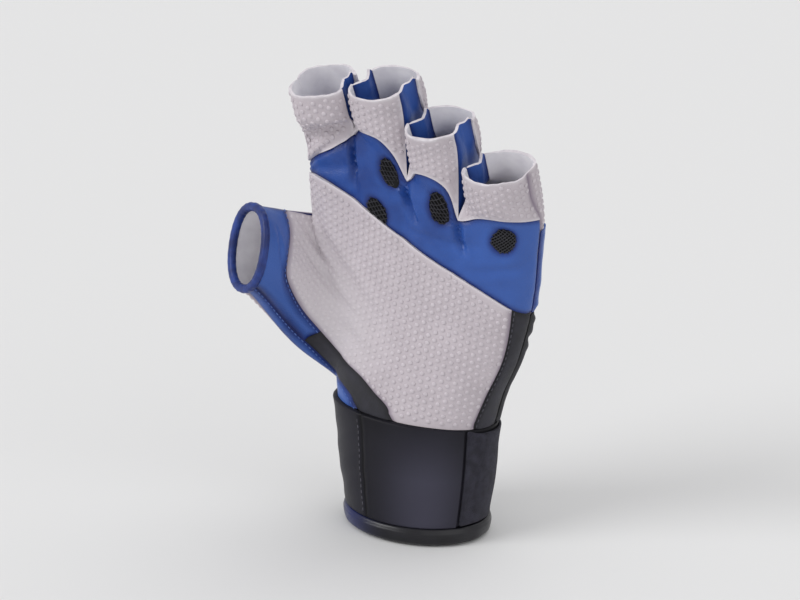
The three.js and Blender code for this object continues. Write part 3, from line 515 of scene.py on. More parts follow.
def triangulate(outline, inner=(), pitch=planPitch, innerKind="seam"):
    # fine even triangles inside the outline, and the kind of every border point
    kinds = []
    loop = []
    for curve, kind in outline:
        points = resample(curve, pitch)[:-1]
        loop.append(points)
        kinds += [kind] * len(points)
    loops = [np.concatenate(loop)]
    for curve in inner:
        points = resample(closedLoop(curve), pitch)[:-1]
        loops.append(points)
        kinds += [innerKind] * len(points)
    border = np.concatenate(loops)
    low, high = border.min(0), border.max(0)
    rows = []
    for i, y in enumerate(np.arange(low[1], high[1], pitch * math.sqrt(3) / 2)):
        x = np.arange(low[0] + (i % 2) * pitch / 2, high[0], pitch)
        rows.append(np.stack([x, np.full(len(x), y)], -1))
    grid = np.concatenate(rows)
    inside = insideLoop(grid, loops[0])
    for hole in loops[1:]:
        inside &= ~insideLoop(grid, hole)
    grid = grid[inside]
    grid = grid[nearestDistance(grid, border)[0] > 0.62 * pitch]
    points = np.concatenate([border, grid])
    edges = []
    start = 0
    for one in loops:
        n = len(one)
        edges += [(start + i, start + (i + 1) % n) for i in range(n)]
        start += n
    made = delaunay_2d_cdt([Vector(p) for p in points.tolist()], edges, [], 1, 1e-5)
    flat = np.array([tuple(v) for v in made[0]])
    triangles = np.array([f for f in made[2] if len(f) == 3])
    centre = flat[triangles].mean(1)
    keep = insideLoop(centre, loops[0])
    for hole in loops[1:]:
        keep &= ~insideLoop(centre, hole)
    triangles = triangles[keep]
    a, b, c = [flat[triangles[:, i]] for i in range(3)]
    area = (b[:, 0] - a[:, 0]) * (c[:, 1] - a[:, 1]) - (b[:, 1] - a[:, 1]) * (c[:, 0] - a[:, 0])
    triangles = np.where((area < 0)[:, None], triangles[:, ::-1], triangles)
    triangles = triangles[np.abs(area) > 1e-9]
    return flat, triangles, border, np.array(kinds)


def softNoise(points, size, seed):
    # gentle unevenness between about -1 and 1, with waves of about this size
    rng = np.random.default_rng(seed)
    total = np.zeros(len(points))
    for _ in range(7):
        direction = unit(rng.normal(size=3))
        length = size * rng.uniform(0.7, 1.6)
        total += np.sin(points @ direction * 2 * np.pi / length + rng.uniform(0, 6.28))
    return total / 3.5


# Creases as (across, up) lines on one side of the glove, with a depth and a half width in millimetres
creases = [
    dict(side=palmSide, path=[(0.300, 105), (0.308, 99), (0.318, 91)], depth=2.1, width=1.15),
    dict(side=palmSide, path=[(0.465, 105), (0.475, 99), (0.505, 92)], depth=2.3, width=1.15),
    dict(side=palmSide, path=[(0.617, 105), (0.622, 98), (0.640, 89)], depth=2.0, width=1.15),
    dict(side=palmSide, path=[(0.08, 92), (0.11, 72), (0.15, 50), (0.21, 28)], depth=1.3, width=5.0),
    dict(side=palmSide, path=[(0.02, 96.5), (0.13, 98), (0.27, 102)], depth=1.4, width=1.4),
    dict(side=palmSide, path=[(0.12, 92.5), (0.24, 93), (0.36, 97.5)], depth=0.8, width=1.6),
    dict(side=palmSide, path=[(0.36, 93), (0.44, 97), (0.52, 100)], depth=0.7, width=1.5),
    dict(side=palmSide, path=[(0.48, 87), (0.58, 90), (0.68, 97)], depth=0.7, width=1.9),
    dict(side=palmSide, path=[(0.66, 80), (0.76, 86), (0.9, 90)], depth=0.6, width=2.2),
    dict(side=palmSide, path=[(-0.3, 66), (-0.05, 60), (0.12, 50)], depth=0.6, width=2.2),
    dict(side=palmSide, path=[(-0.4, 54), (-0.1, 47), (0.16, 38)], depth=0.55, width=2.4),
    dict(side=palmSide, path=[(-0.35, 36), (0.0, 33), (0.22, 24)], depth=0.45, width=2.2),
    dict(side=palmSide, path=[(-0.86, 52), (-0.83, 40), (-0.7, 28)], depth=0.5, width=1.3),
    dict(side=palmSide, path=[(0.05, 126), (0.055, 116), (0.06, 104)], depth=0.8, width=1.4),
    dict(side=backSide, path=[(0.27, 104), (0.29, 96), (0.32, 88)], depth=1.3, width=2.0),
    dict(side=backSide, path=[(0.48, 104), (0.49, 97), (0.5, 90)], depth=1.3, width=2.0),
    dict(side=backSide, path=[(0.66, 104), (0.66, 97), (0.65, 88)], depth=1.3, width=2.0),
    dict(side=backSide, path=[(0.985, 66), (0.9, 64), (0.8, 68)], depth=1.4, width=1.8),
    dict(side=backSide, path=[(0.985, 52), (0.9, 48), (0.8, 50)], depth=1.0, width=2.0),
    dict(side=backSide, path=[(-0.6, 50), (-0.3, 44), (0.0, 34)], depth=0.7, width=2.5),
]


def relief(side, plan, base):
    # how far the leather stands out: its unevenness and its creases
    out = 0.22 * softNoise(base, 21, 5) + 0.08 * softNoise(base, 7, 9)
    for crease in creases:
        if crease["side"] != side:
            continue
        path = np.array(crease["path"], float)
        curve = resample(spline(toPlan(path[:, 0], path[:, 1]))[0], 0.8)
        d, which = nearestDistance(plan, curve)
        along = which / max(1, len(curve) - 1)
        fade = np.sin(np.pi * np.clip(along * 0.92 + 0.04, 0, 1)) ** 0.6
        w = crease["width"]
        out += fade * crease["depth"] * (-np.exp(-(d / w) ** 2) + 0.45 * np.exp(-((d - 2.1 * w) / w) ** 2))
    return out


def mouthCrumple(plan, base):
    # the cut tops of the fingers wave a little
    near = np.clip((plan[:, 1] - 117) / 15, 0, 1) ** 1.5
    return near * (0.55 * softNoise(base, 15, 12) + 0.2 * softNoise(base, 6, 14))


# Leather sheets; they sink into a groove at a seam and rise to a lap at a cut edge
leather = dict(thickness=1.7, fingers=1.15, groove=0.8, grooveWidth=1.25, edgeGap=0.05, lap=0.4,
               lapWidth=4.0)


def triangleNormals(points, triangles):
    a, b, c = [points[triangles[:, i]] for i in range(3)]
    n = np.cross(b - a, c - a)
    out = np.zeros_like(points)
    for i in range(3):
        np.add.at(out, triangles[:, i], n)
    return unit(out)


def link(obj):
    bpy.context.scene.collection.objects.link(obj)
    return obj


def unwrapped(points, triangles, plan):
    # lays the piece flat as it was cut, in millimetres, the way up it has in the plan
    mesh = bpy.data.meshes.new("flat")
    mesh.from_pydata((points * mm).tolist(), [], triangles.tolist())
    obj = link(bpy.data.objects.new("flat", mesh))
    mesh.uv_layers.new(name="flat")
    bpy.context.view_layer.objects.active = obj
    obj.select_set(True)
    bpy.ops.object.mode_set(mode="EDIT")
    bpy.ops.mesh.select_all(action="SELECT")
    bpy.ops.uv.unwrap(method="ANGLE_BASED", margin=0.0)
    bpy.ops.object.mode_set(mode="OBJECT")
    uv = np.zeros(len(mesh.loops) * 2)
    mesh.uv_layers[0].data.foreach_get("uv", uv)
    loopVertex = np.zeros(len(mesh.loops), int)
    mesh.loops.foreach_get("vertex_index", loopVertex)
    flat = np.zeros((len(points), 2))
    flat[loopVertex] = uv.reshape(-1, 2)
    bpy.data.objects.remove(obj)
    bpy.data.meshes.remove(mesh)
    a, b = triangles[:, 0], triangles[:, 1]
    real = np.linalg.norm(points[a] - points[b], axis=1)
    drawn = np.linalg.norm(flat[a] - flat[b], axis=1)
    flat = (flat - flat.mean(0)) * (np.median(real / np.maximum(drawn, 1e-9)))
    aim = plan - plan.mean(0)
    u, _, vt = np.linalg.svd(flat.T @ aim)
    return flat @ (u @ vt)


def paleShare(name, side, across, up, far):
    # where the leather catches the light: the thumb web, the band's outer half, the middle of the facing
    if name.startswith("knuckle_band"):
        return 0.8 * np.clip((across - 0.35) / 0.6, 0, 1)
    if name in ("thumb_facing", "radial_piping"):
        return 0.75 * np.clip((far - 0.8) / 3.5, 0, 1) ** 1.5
    if name.startswith("fourchette"):
        return 0.3 + 0.5 * np.clip((far - 2) / 6, 0, 1)
    return np.clip((0.3 - across) / 0.3, 0, 1) * np.clip((88 - up) / 20, 0, 1) * (side < 0)


def makePanel(name, side, outline, inner=(), evaluate=None, thickness=leather["thickness"], flatten=False,
              lift=0.0, pitch=planPitch, bend=True, innerKind="seam"):
    # a sheet of leather on the form: its outer and inner face, its rim, and where it gets painted shade and
    # dirt at the seams, a painted highlight along cut edges, and painted light where it is pale
    panel = SimpleNamespace(name=name)
    panel.plan, faces, border, kinds = triangulate(outline, inner, pitch, innerKind)
    evaluate = evaluate or (lambda plan: facePoint(side, plan))
    base = evaluate(panel.plan)
    faces = faces if side == palmSide else faces[:, ::-1]
    panel.triangles = faces
    normal = triangleNormals(base, faces)
    borderAt = evaluate(border)
    panel.edgeFar = nearestDistance(base, borderAt)[0]

    def farFrom(*wanted):
        chosen = np.isin(kinds, wanted)
        return nearestDistance(base, borderAt[chosen])[0] if chosen.any() else np.full(len(base), 50.0)

    far = farFrom("seam")
    cut = farFrom("lap")
    # painted shade in the seam grooves, with some dirt: the colour darkens near the seams
    panel.wear = np.exp(-(far / 1.6) ** 2)
    # painted highlight along the cut and raw edges, also standing in for the lighter cut edge
    panel.edge = np.exp(-(np.minimum(cut, farFrom("raw")) / 0.85) ** 2)
    height = -leather["groove"] * np.exp(-(far / leather["grooveWidth"]) ** 2) + lift
    rounded = 1 - 0.6 * np.exp(-(cut / 0.6) ** 2)
    height += leather["lap"] * np.exp(-(cut / leather["lapWidth"]) ** 2) * rounded
    if bend:
        height = height + relief(side, panel.plan, base) * np.clip(far / 2.0, 0.25, 1)
        height = height + mouthCrumple(panel.plan, base)
    panel.outer = base + normal * height[:, None]
    inset = np.minimum(height - 0.5, lift - thickness)
    panel.inner = base + normal * inset[:, None]
    # the rim, pulled in a little so that neighbours don't touch
    pairs = np.concatenate([faces[:, [0, 1]], faces[:, [1, 2]], faces[:, [2, 0]]])
    known = set(map(tuple, pairs.tolist()))
    rim = np.array([p for p in known if (p[1], p[0]) not in known])
    panel.rim = rim
    pull = np.zeros_like(base)
    toward = unit(np.cross(normal[rim[:, 0]], base[rim[:, 1]] - base[rim[:, 0]]))
    for i in range(2):
        np.add.at(pull, rim[:, i], toward)
    pull = unit(pull) * leather["edgeGap"]
    pull[np.linalg.norm(pull, axis=1) < leather["edgeGap"] / 2] = 0
    panel.outer += pull
    panel.rimKinds = kinds[nearestDistance(panel.plan[rim[:, 0]], border)[1]]
    panel.normal = triangleNormals(panel.outer, faces)
    panel.pale = paleShare(name, side, panel.plan[:, 0] / acrossSize, panel.plan[:, 1], far)
    panel.flat = unwrapped(base, faces, panel.plan) if flatten else panel.plan
    return panel


def meshPiece(name, points, faces, materials, faceMaterials=None, uv=None, shares=None, sharpAt=50):
    mesh = bpy.data.meshes.new(name)
    mesh.from_pydata((np.asarray(points) * mm).tolist(), [], faces)
    for material in materials:
        mesh.materials.append(material)
    if faceMaterials is not None:
        mesh.polygons.foreach_set("material_index", np.asarray(faceMaterials, np.int32))
    if uv is not None:
        layer = mesh.uv_layers.new(name="cloth")
        loopVertex = np.zeros(len(mesh.loops), int)
        mesh.loops.foreach_get("vertex_index", loopVertex)
        layer.data.foreach_set("uv", (np.asarray(uv)[loopVertex] * 0.01).ravel())
    for key, values in (shares or {}).items():
        share = mesh.attributes.new(key, "FLOAT", "POINT")
        share.data.foreach_set("value", np.asarray(values, np.float32))
    mesh.shade_smooth()
    mesh.set_sharp_from_angle(angle=math.radians(sharpAt))
    mesh.validate()
    return link(bpy.data.objects.new(name, mesh))


def panelPiece(panel, outerMaterial, innerMaterial, edgeMaterial):
    # both faces of a sheet and the walls round its rim
    n = len(panel.outer)
    faces = [*panel.triangles.tolist(), *(panel.triangles[:, ::-1] + n).tolist()]
    faces += [(b, a, a + n, b + n) for a, b in panel.rim.tolist()]
    kinds = [0] * len(panel.triangles) + [1] * len(panel.triangles)
    kinds += [2 if kind in ("raw", "lap") else 0 for kind in panel.rimKinds]
    shares = {key: np.tile(values, 2) for key, values in
              (("wear", panel.wear), ("edge", panel.edge), ("pale", panel.pale))}
    return meshPiece(panel.name, np.concatenate([panel.outer, panel.inner]), faces,
                     [outerMaterial, innerMaterial, edgeMaterial], kinds,
                     np.concatenate([panel.flat, panel.flat]), shares)


def paint(*screen):
    # a colour as seen on a screen, 0 to 255, made linear
    linear = [((c / 255 + 0.055) / 1.055) ** 2.4 if c > 10 else c / 255 / 12.92 for c in screen]
    return (*linear, 1)


def setInputs(tree, node, inputs):
    # each input is a value, or the socket that feeds it
    for key, value in inputs.items():
        if isinstance(value, bpy.types.NodeSocket):
            tree.links.new(value, node.inputs[key])
        else:
            node.inputs[key].default_value = value


def addNode(tree, kind, inputs, **settings):
    node = tree.nodes.new(kind)
    for key, value in settings.items():
        setattr(node, key, value)
    setInputs(tree, node, inputs)
    return node.outputs


def mixColours(tree, first, second, share, blend="MIX"):
    return addNode(tree, "ShaderNodeMix", {"A": first, "B": second, "Factor": share}, data_type="RGBA",
                   blend_type=blend)["Result"]


def mapRange(tree, value, ends):
    return addNode(tree, "ShaderNodeMapRange", {"Value": value, **ends})["Result"]


def maths(tree, operation, *values):
    return addNode(tree, "ShaderNodeMath", dict(enumerate(values)), operation=operation)["Value"]


def noise(tree, place, size, detail, roughness):
    return addNode(tree, "ShaderNodeTexNoise", {
        "Vector": place, "Scale": 1000 / size, "Detail": detail, "Roughness": roughness})["Fac"]


def makeMaterial(name, look):
    # two shades in soft patches, grain, pores or weave, then the painted shares; sizes are in millimetres
    material = bpy.data.materials.new(name)
    material.use_nodes = True
    tree = material.node_tree
    place = addNode(tree, "ShaderNodeTexCoord", {})
    patches = noise(tree, place["Object"], look["patchSize"], 3.0, 0.55)
    blend = mapRange(tree, patches, {"From Min": 0.35, "From Max": 0.65})
    colour = mixColours(tree, paint(*look["dark"]), paint(*look["light"]), blend)
    height = noise(tree, place["Object"], look["grain"], 4.0, 0.6)
    if "pores" in look:
        cells = addNode(tree, "ShaderNodeTexVoronoi", {
            "Vector": place["Object"], "Scale": 1000 / look["pores"]}, feature="DISTANCE_TO_EDGE")
        crease = mapRange(tree, cells["Distance"], {"From Max": 0.18})
        height = maths(tree, "MULTIPLY_ADD", crease, 0.7, height)
    if "weave" in look:
        across, up = look["weave"]
        turned = addNode(tree, "ShaderNodeMapping", {
            "Vector": place["UV"], "Scale": (100 / across, 100 / up, 1)})
        split = addNode(tree, "ShaderNodeSeparateXYZ", {"Vector": turned["Vector"]})
        waves = [maths(tree, "SINE", maths(tree, "MULTIPLY", split[axis], 2 * math.pi)) for axis in "XY"]
        threads = maths(tree, "MULTIPLY", *waves)
        height = maths(tree, "MULTIPLY_ADD", threads, look.get("weaveDepth", 0.6), height)
        # painted shade where the threads dip: the weave's low points are darkened
        low = mapRange(tree, threads, {"From Min": 1.0, "From Max": -1.0})
        colour = mixColours(tree, colour, paint(150, 150, 150), low, "MULTIPLY")
    # pale mixes in painted light (on the gloss tape a navy tint), the seam share multiplies in painted shade
    # and dirt, edge mixes in a painted highlight along cut edges
    for key, mode in (("pale", "MIX"), ("wear", "MULTIPLY"), ("edge", "MIX")):
        if key in look:
            share = addNode(tree, "ShaderNodeAttribute", {}, attribute_name=key)["Fac"]
            colour = mixColours(tree, colour, paint(*look[key]), share, mode)
    bump = addNode(tree, "ShaderNodeBump", {
        "Height": height, "Strength": look["bump"], "Distance": look.get("bumpHeight", 0.15) * mm})
    smooth, rough = look["roughness"]
    setInputs(tree, tree.nodes["Principled BSDF"], {
        "Base Color": colour, "Normal": bump["Normal"],
        "Roughness": mapRange(tree, patches, {"To Min": smooth, "To Max": rough}),
        "Sheen Weight": look.get("sheen", 0.0), "Sheen Roughness": 0.5,
        "Coat Weight": look.get("coat", 0.0), "Coat Roughness": 0.25,
        "Specular IOR Level": look.get("specular", 0.5)})
    return material


finishes = {
    # whiteLeather: pale is painted light on the thumb web, the seam share is painted shade and dirt along
    # the seams, edge is a painted highlight along cut edges
    "whiteLeather": dict(dark=(188, 179, 185), light=(198, 189, 195), patchSize=18, grain=0.7, pores=1.0,
                         bump=0.35, roughness=(0.6, 0.78), sheen=0.06,
                         pale=(206, 199, 204), wear=(190, 182, 196), edge=(214, 208, 213)),
    # the dots' pale is the same painted light on the thumb web
    "leatherDots": dict(dark=(193, 185, 191), light=(202, 194, 200), patchSize=14, grain=0.5, bump=0.15,
                        roughness=(0.42, 0.58), pale=(209, 202, 207)),
    # blueLeather: pale is a painted highlight on the band's outer half, the facing's middle and the side
    # walls; the seam share is painted shade and dirt along the seams
    "blueLeather": dict(dark=(24, 52, 120), light=(40, 80, 158), patchSize=24, grain=0.8, pores=1.2,
                        bump=0.45, roughness=(0.3, 0.45), specular=0.38, wear=(120, 126, 172),
                        pale=(62, 100, 178)),
    "blueBinding": dict(dark=(20, 38, 98), light=(34, 62, 138), patchSize=6, grain=0.5, pores=0.9,
                        bump=0.35, roughness=(0.32, 0.45), specular=0.42),
    "suede": dict(dark=(234, 231, 236), light=(247, 245, 248), patchSize=8, grain=0.35, bump=0.6,
                  roughness=(0.85, 0.95), sheen=0.15),
    "rawEdge": dict(dark=(200, 194, 200), light=(222, 217, 221), patchSize=3, grain=0.3, bump=0.8,
                    roughness=(0.85, 0.95)),
    # charcoalCloth: the seam share is painted shade and dirt along the seams
    "charcoalCloth": dict(dark=(36, 35, 45), light=(54, 53, 66), patchSize=10, grain=0.4, bump=0.5,
                          roughness=(0.6, 0.75), sheen=0.04, weave=(0.9, 0.7), wear=(120, 120, 130)),
    # neoprene: pale is a painted sheen on the palm side's lower half and the thumb side; the seam share is
    # painted shade and dirt along the cuff's seam
    "neoprene": dict(dark=(13, 12, 18), light=(22, 21, 29), patchSize=24, grain=0.4, bump=0.3,
                     roughness=(0.38, 0.5), sheen=0.02, specular=0.18, weave=(0.7, 0.55), weaveDepth=0.5,
                     pale=(64, 63, 77), wear=(80, 80, 88)),
    "loopCloth": dict(dark=(34, 33, 44), light=(52, 51, 64), patchSize=4, grain=0.5, pores=0.8, bump=0.8,
                      bumpHeight=0.3, roughness=(0.7, 0.85), sheen=0.05, specular=0.25),
    "glossTape": dict(dark=(16, 15, 22), light=(26, 25, 34), patchSize=12, grain=0.5, bump=0.2,
                      roughness=(0.26, 0.36), weave=(0.6, 1.2), weaveDepth=0.6, coat=0.2, specular=0.35,
                      pale=(20, 30, 84)),
    "meshThread": dict(dark=(22, 22, 27), light=(40, 40, 49), patchSize=4, grain=0.4, bump=0.3,
                       roughness=(0.35, 0.5)),
    "meshBacking": dict(dark=(6, 6, 8), light=(13, 13, 16), patchSize=4, grain=0.3, bump=0.5,
                        roughness=(0.9, 1.0)),
    "patchCloth": dict(dark=(24, 24, 31), light=(36, 36, 44), patchSize=9, grain=0.35, bump=0.4,
                       roughness=(0.45, 0.6), weave=(0.6, 0.6), weaveDepth=0.9),
}
threadColours = {
    "whiteThread": ((196, 190, 198), (220, 215, 221)),
    "blueThread": ((58, 88, 162), (90, 120, 188)),
    "darkThread": ((58, 57, 66), (84, 83, 94)),
    "greyThread": ((112, 110, 120), (146, 144, 154)),
}
for name, (dark, light) in threadColours.items():
    finishes[name] = dict(dark=dark, light=light, patchSize=2, grain=0.2, bump=0.2, roughness=(0.5, 0.65))
materials = {name: makeMaterial(name, look) for name, look in finishes.items()}
print("materials ready")


def newTree(name, **kinds):
    # a tree with named inputs beside its geometry, and the identifiers that a modifier sets them by
    tree = bpy.data.node_groups.new(name, "GeometryNodeTree")
    make = tree.interface.new_socket
    make("Geometry", in_out="INPUT", socket_type="NodeSocketGeometry")
    make("Geometry", in_out="OUTPUT", socket_type="NodeSocketGeometry")
    sockets = {key: make(key, in_out="INPUT", socket_type="NodeSocket" + kind).identifier
               for key, kind in kinds.items()}
    return tree, tree.nodes.new("NodeGroupInput").outputs, sockets


def endTree(tree, given, geometry):
    real = addNode(tree, "GeometryNodeRealizeInstances", {"Geometry": geometry})
    finished = addNode(tree, "GeometryNodeSetMaterial", {
        "Geometry": real["Geometry"], "Material": given["Finish"]})
    addNode(tree, "NodeGroupOutput", {"Geometry": finished["Geometry"]})


def scatterTree():
    # sets one small shape on every point, standing along "outward" and lying along "along"
    tree, given, sockets = newTree("scatter", Shape="Object", Size="Float", Finish="Material")
    turn = {}
    for name, axis, pivot in (("outward", "Z", "AUTO"), ("along", "X", "Z")):
        read = addNode(tree, "GeometryNodeInputNamedAttribute", {"Name": name}, data_type="FLOAT_VECTOR")
        aligned = addNode(tree, "FunctionNodeAlignRotationToVector", {"Vector": read["Attribute"], **turn},
                          axis=axis, pivot_axis=pivot)
        turn = {"Rotation": aligned["Rotation"]}
    shape = addNode(tree, "GeometryNodeObjectInfo", {"Object": given["Shape"]})
    placed = addNode(tree, "GeometryNodeInstanceOnPoints", {
        "Points": given["Geometry"], "Instance": shape["Geometry"], "Scale": given["Size"], **turn})
    endTree(tree, given, placed["Instances"])
    return tree, sockets


def strandTree():
    # turns edges into round threads
    tree, given, sockets = newTree("strands", Radius="Float", Finish="Material")
    curve = addNode(tree, "GeometryNodeMeshToCurve", {"Mesh": given["Geometry"]})
    ring = addNode(tree, "GeometryNodeCurvePrimitiveCircle", {"Resolution": 5, "Radius": given["Radius"]})
    tube = addNode(tree, "GeometryNodeCurveToMesh", {
        "Curve": curve["Curve"], "Profile Curve": ring["Curve"], "Fill Caps": True})
    endTree(tree, given, tube["Mesh"])
    return tree, sockets


scatter, scatterSockets = scatterTree()
threads, threadSockets = strandTree()


def settled(obj, name, tree, sockets, **values):
    # runs the tree on the object and keeps the plain mesh
    modifier = obj.modifiers.new("tree", "NODES")
    modifier.node_group = tree
    for key, value in values.items():
        modifier[sockets[key]] = value
    graph = bpy.context.evaluated_depsgraph_get()
    ready = obj.evaluated_get(graph)
    mesh = bpy.data.meshes.new_from_object(ready, preserve_all_data_layers=True, depsgraph=graph)
    mesh.name = name
    bpy.data.objects.remove(obj)
    mesh.shade_smooth()
    return link(bpy.data.objects.new(name, mesh))


def pointsObject(points, outward, along):
    mesh = bpy.data.meshes.new("points")
    mesh.from_pydata((np.asarray(points) * mm).tolist(), [], [])
    for name, values in (("outward", outward), ("along", along)):
        layer = mesh.attributes.new(name, "FLOAT_VECTOR", "POINT")
        layer.data.foreach_set("vector", np.asarray(values, np.float32).ravel())
    return link(bpy.data.objects.new("points", mesh))


def smallShape(name, rings, top, sides):
    # a low dome: rings of (radius x, radius y, height), closed by a top point
    angle = np.linspace(0, 2 * np.pi, sides, endpoint=False)
    points = np.concatenate([np.stack([rx * np.cos(angle), ry * np.sin(angle), np.full(sides, h)], -1)
                             for rx, ry, h in rings] + [[[0, 0, top]], [[0, 0, rings[0][2]]]])
    faces = []
    for r in range(len(rings) - 1):
        for i in range(sides):
            j = (i + 1) % sides
            faces.append((r * sides + i, r * sides + j, (r + 1) * sides + j, (r + 1) * sides + i))
    last = (len(rings) - 1) * sides
    for i in range(sides):
        j = (i + 1) % sides
        faces.append((last + i, last + j, len(points) - 2))
        faces.append((j, i, len(points) - 1))
    mesh = bpy.data.meshes.new(name)
    mesh.from_pydata((points * mm).tolist(), [], faces)
    obj = link(bpy.data.objects.new(name, mesh))
    obj.hide_render = True
    return obj


dots = dict(pitch=3.45, columns=2.85, radius=1.12, height=0.42, clear=1.9, sunk=0.55)
stitches = dict(pitch=2.6, length=0.95, width=0.27, height=0.17, offset=1.55)
rooted = 0.15  # how deep dots and stitches reach into the leather
dotRings = [(dots["radius"] * size, dots["radius"] * size, height) for size, height in
            ((1, -rooted), (0.86, dots["height"] * 0.6), (0.5, dots["height"] * 0.93))]
stitchRings = [(stitches["length"], stitches["width"], -rooted),
               (stitches["length"] * 0.8, stitches["width"] * 0.75, 0.1)]
dotShape = smallShape("dotShape", dotRings, dots["height"], 10)
stitchShape = smallShape("stitchShape", stitchRings, stitches["height"], 8)


def finishPiece(piece, slot, *nodes):
    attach(piece, "root")
    if nodes:
        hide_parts(*nodes)


def dotPiece(name, panel):
    # dots in staggered columns over the flat cut, clear of the seams
    centres = panel.flat[panel.triangles].mean(1)
    tree = kdtree.KDTree(len(centres))
    for i, c in enumerate(centres):
        tree.insert((c[0], c[1], 0), i)
    tree.balance()
    low, high = panel.flat.min(0), panel.flat.max(0)
    points = []
    normals = []
    pale = []
    for column, x in enumerate(np.arange(low[0], high[0], dots["columns"])):
        for y in np.arange(low[1] + (column % 2) * dots["pitch"] / 2, high[1], dots["pitch"]):
            for _, i, d in tree.find_n((x, y, 0), 5):
                if d > 2.5:
                    break
                t = panel.triangles[i]
                a, b, c = panel.flat[t]
                m = np.array([b - a, c - a]).T
                size = np.linalg.det(m)
                if abs(size) < 1e-9:
                    continue
                v, w = np.linalg.solve(m, np.array([x, y]) - a)
                if v < -1e-6 or w < -1e-6 or v + w > 1 + 1e-6:
                    continue
                weights = np.array([1 - v - w, v, w])
                if weights @ panel.edgeFar[t] > dots["clear"]:
                    points.append(weights @ panel.outer[t])
                    normals.append(weights @ panel.normal[t])
                    pale.append(weights @ panel.pale[t])
                break
    normals = unit(normals)
    along = unit(np.cross(normals, [0.0, 1.0, 0.3]))
    # the pale share is the painted light on the thumb web; the dots sink there and take that painted light
    # too
    sink = np.array(pale)[:, None] * dots["height"] * dots["sunk"]  # worn flatter where the leather is pale
    holder = pointsObject(np.array(points) - normals * sink, normals, along)
    share = holder.data.attributes.new("pale", "FLOAT", "POINT")
    share.data.foreach_set("value", np.array(pale, np.float32))
    piece = settled(holder, name, scatter, scatterSockets,
                    Shape=dotShape, Size=1.0, Finish=materials["leatherDots"])
    print(name, len(points), "dots")
    return piece


def stitchPlaces(path, values):
    # even places along a path in space: where each lies, the way the path runs there, and the values there
    along = np.concatenate([[0], np.cumsum(np.linalg.norm(np.diff(path, axis=0), axis=1))])
    n = max(2, int(along[-1] / stitches["pitch"]))
    at = (np.arange(n) + 0.5) / n * along[-1]
    point, direction, value = [np.stack([np.interp(at, along, column) for column in table.T], -1)
                               for table in (path, np.gradient(path, axis=0), values)]
    return point, unit(direction), value


def sewnPiece(name, finish, points, normals, directions):
    holder = pointsObject(points, normals, directions)
    return settled(holder, name, scatter, scatterSockets, Shape=stitchShape, Size=1.0,
                   Finish=materials[finish])


def seamRow(side, curve, offset):
    # stitches along a seam, moved aside in the plan, as points with their normals and directions
    fine = resample(curve, 0.4)
    tangent = unit(np.gradient(fine, axis=0))
    moved = fine + np.stack([-tangent[:, 1], tangent[:, 0]], -1) * offset
    point, direction, plan = stitchPlaces(facePoint(side, moved), moved)
    normal = faceNormal(side, plan)
    groove = leather["groove"] * math.exp(-(abs(offset) / leather["grooveWidth"]) ** 2)
    drop = relief(side, plan, point) - groove
    return point + normal * (drop + 0.03)[:, None], normal, direction


white = (materials["whiteLeather"], materials["suede"], materials["rawEdge"])
blue = (materials["blueLeather"], materials["suede"], materials["rawEdge"])
dark = (materials["charcoalCloth"],) * 3
panelLooks = {
    **{name: (white, "dotted_leather") for name in ("palm_panel", "back_panel", "back_finger_panel")},
    **{name: (blue, "blue_leather") for name in ("knuckle_band", "thumb_facing", "radial_piping",
                                                 "thumb_web_gusset")},
    **{name: (dark, "charcoal_fabric") for name in ("radial_strip", "ulnar_strip")},
    **{"finger_tab_" + finger["name"]: (white, "dotted_leather") for finger in fingers},
}
dotted = [name for name, (look, slotName) in panelLooks.items() if slotName == "dotted_leather"]
panels = {}
for name, (look, slotName) in panelLooks.items():
    side, outline = outlines[name]
    thickness = leather["fingers"] if "finger" in name else leather["thickness"]
    panel = makePanel(name, side, outline, holes.get(name, ()), thickness=thickness, flatten=name in dotted,
                      innerKind="lap" if name == "back_panel" else "seam")
    panels[name] = panel
    piece = panelPiece(panel, *look)
    finishPiece(piece, slotName, name)
    print(name, len(piece.data.polygons), "faces")
wraps = {
    "ulnar_strip_wrap": (0.3, wrap["stripTop"], dark, "charcoal_fabric"),
    "knuckle_band_wrap": (wrap["stripTop"] + 0.4, wrap["bandTop"], blue, "blue_leather"),
}
for name, (low, high, look, slotName) in wraps.items():
    panel = makePanel(name, backSide, wrapOutline(low, high), thickness=wrap["thickness"], lift=wrap["lift"])
    finishPiece(panelPiece(panel, look[0], look[0], look[0]), slotName)
for name in dotted:
    dotsPiece = dotPiece(name.replace("panel", "dots") if "panel" in name else name + "_dots", panels[name])
    finishPiece(dotsPiece, "dotted_leather")


# The blue walls between the fingers, each up one stall and down the next. Their plan has x from the palm
# edge to the back edge and y from one mouth to the other; fold says how far they fold in at the mouth
wall = dict(width=26.0, thickness=1.3, fold=3.4, wrinkle=0.35, peak=1.8)


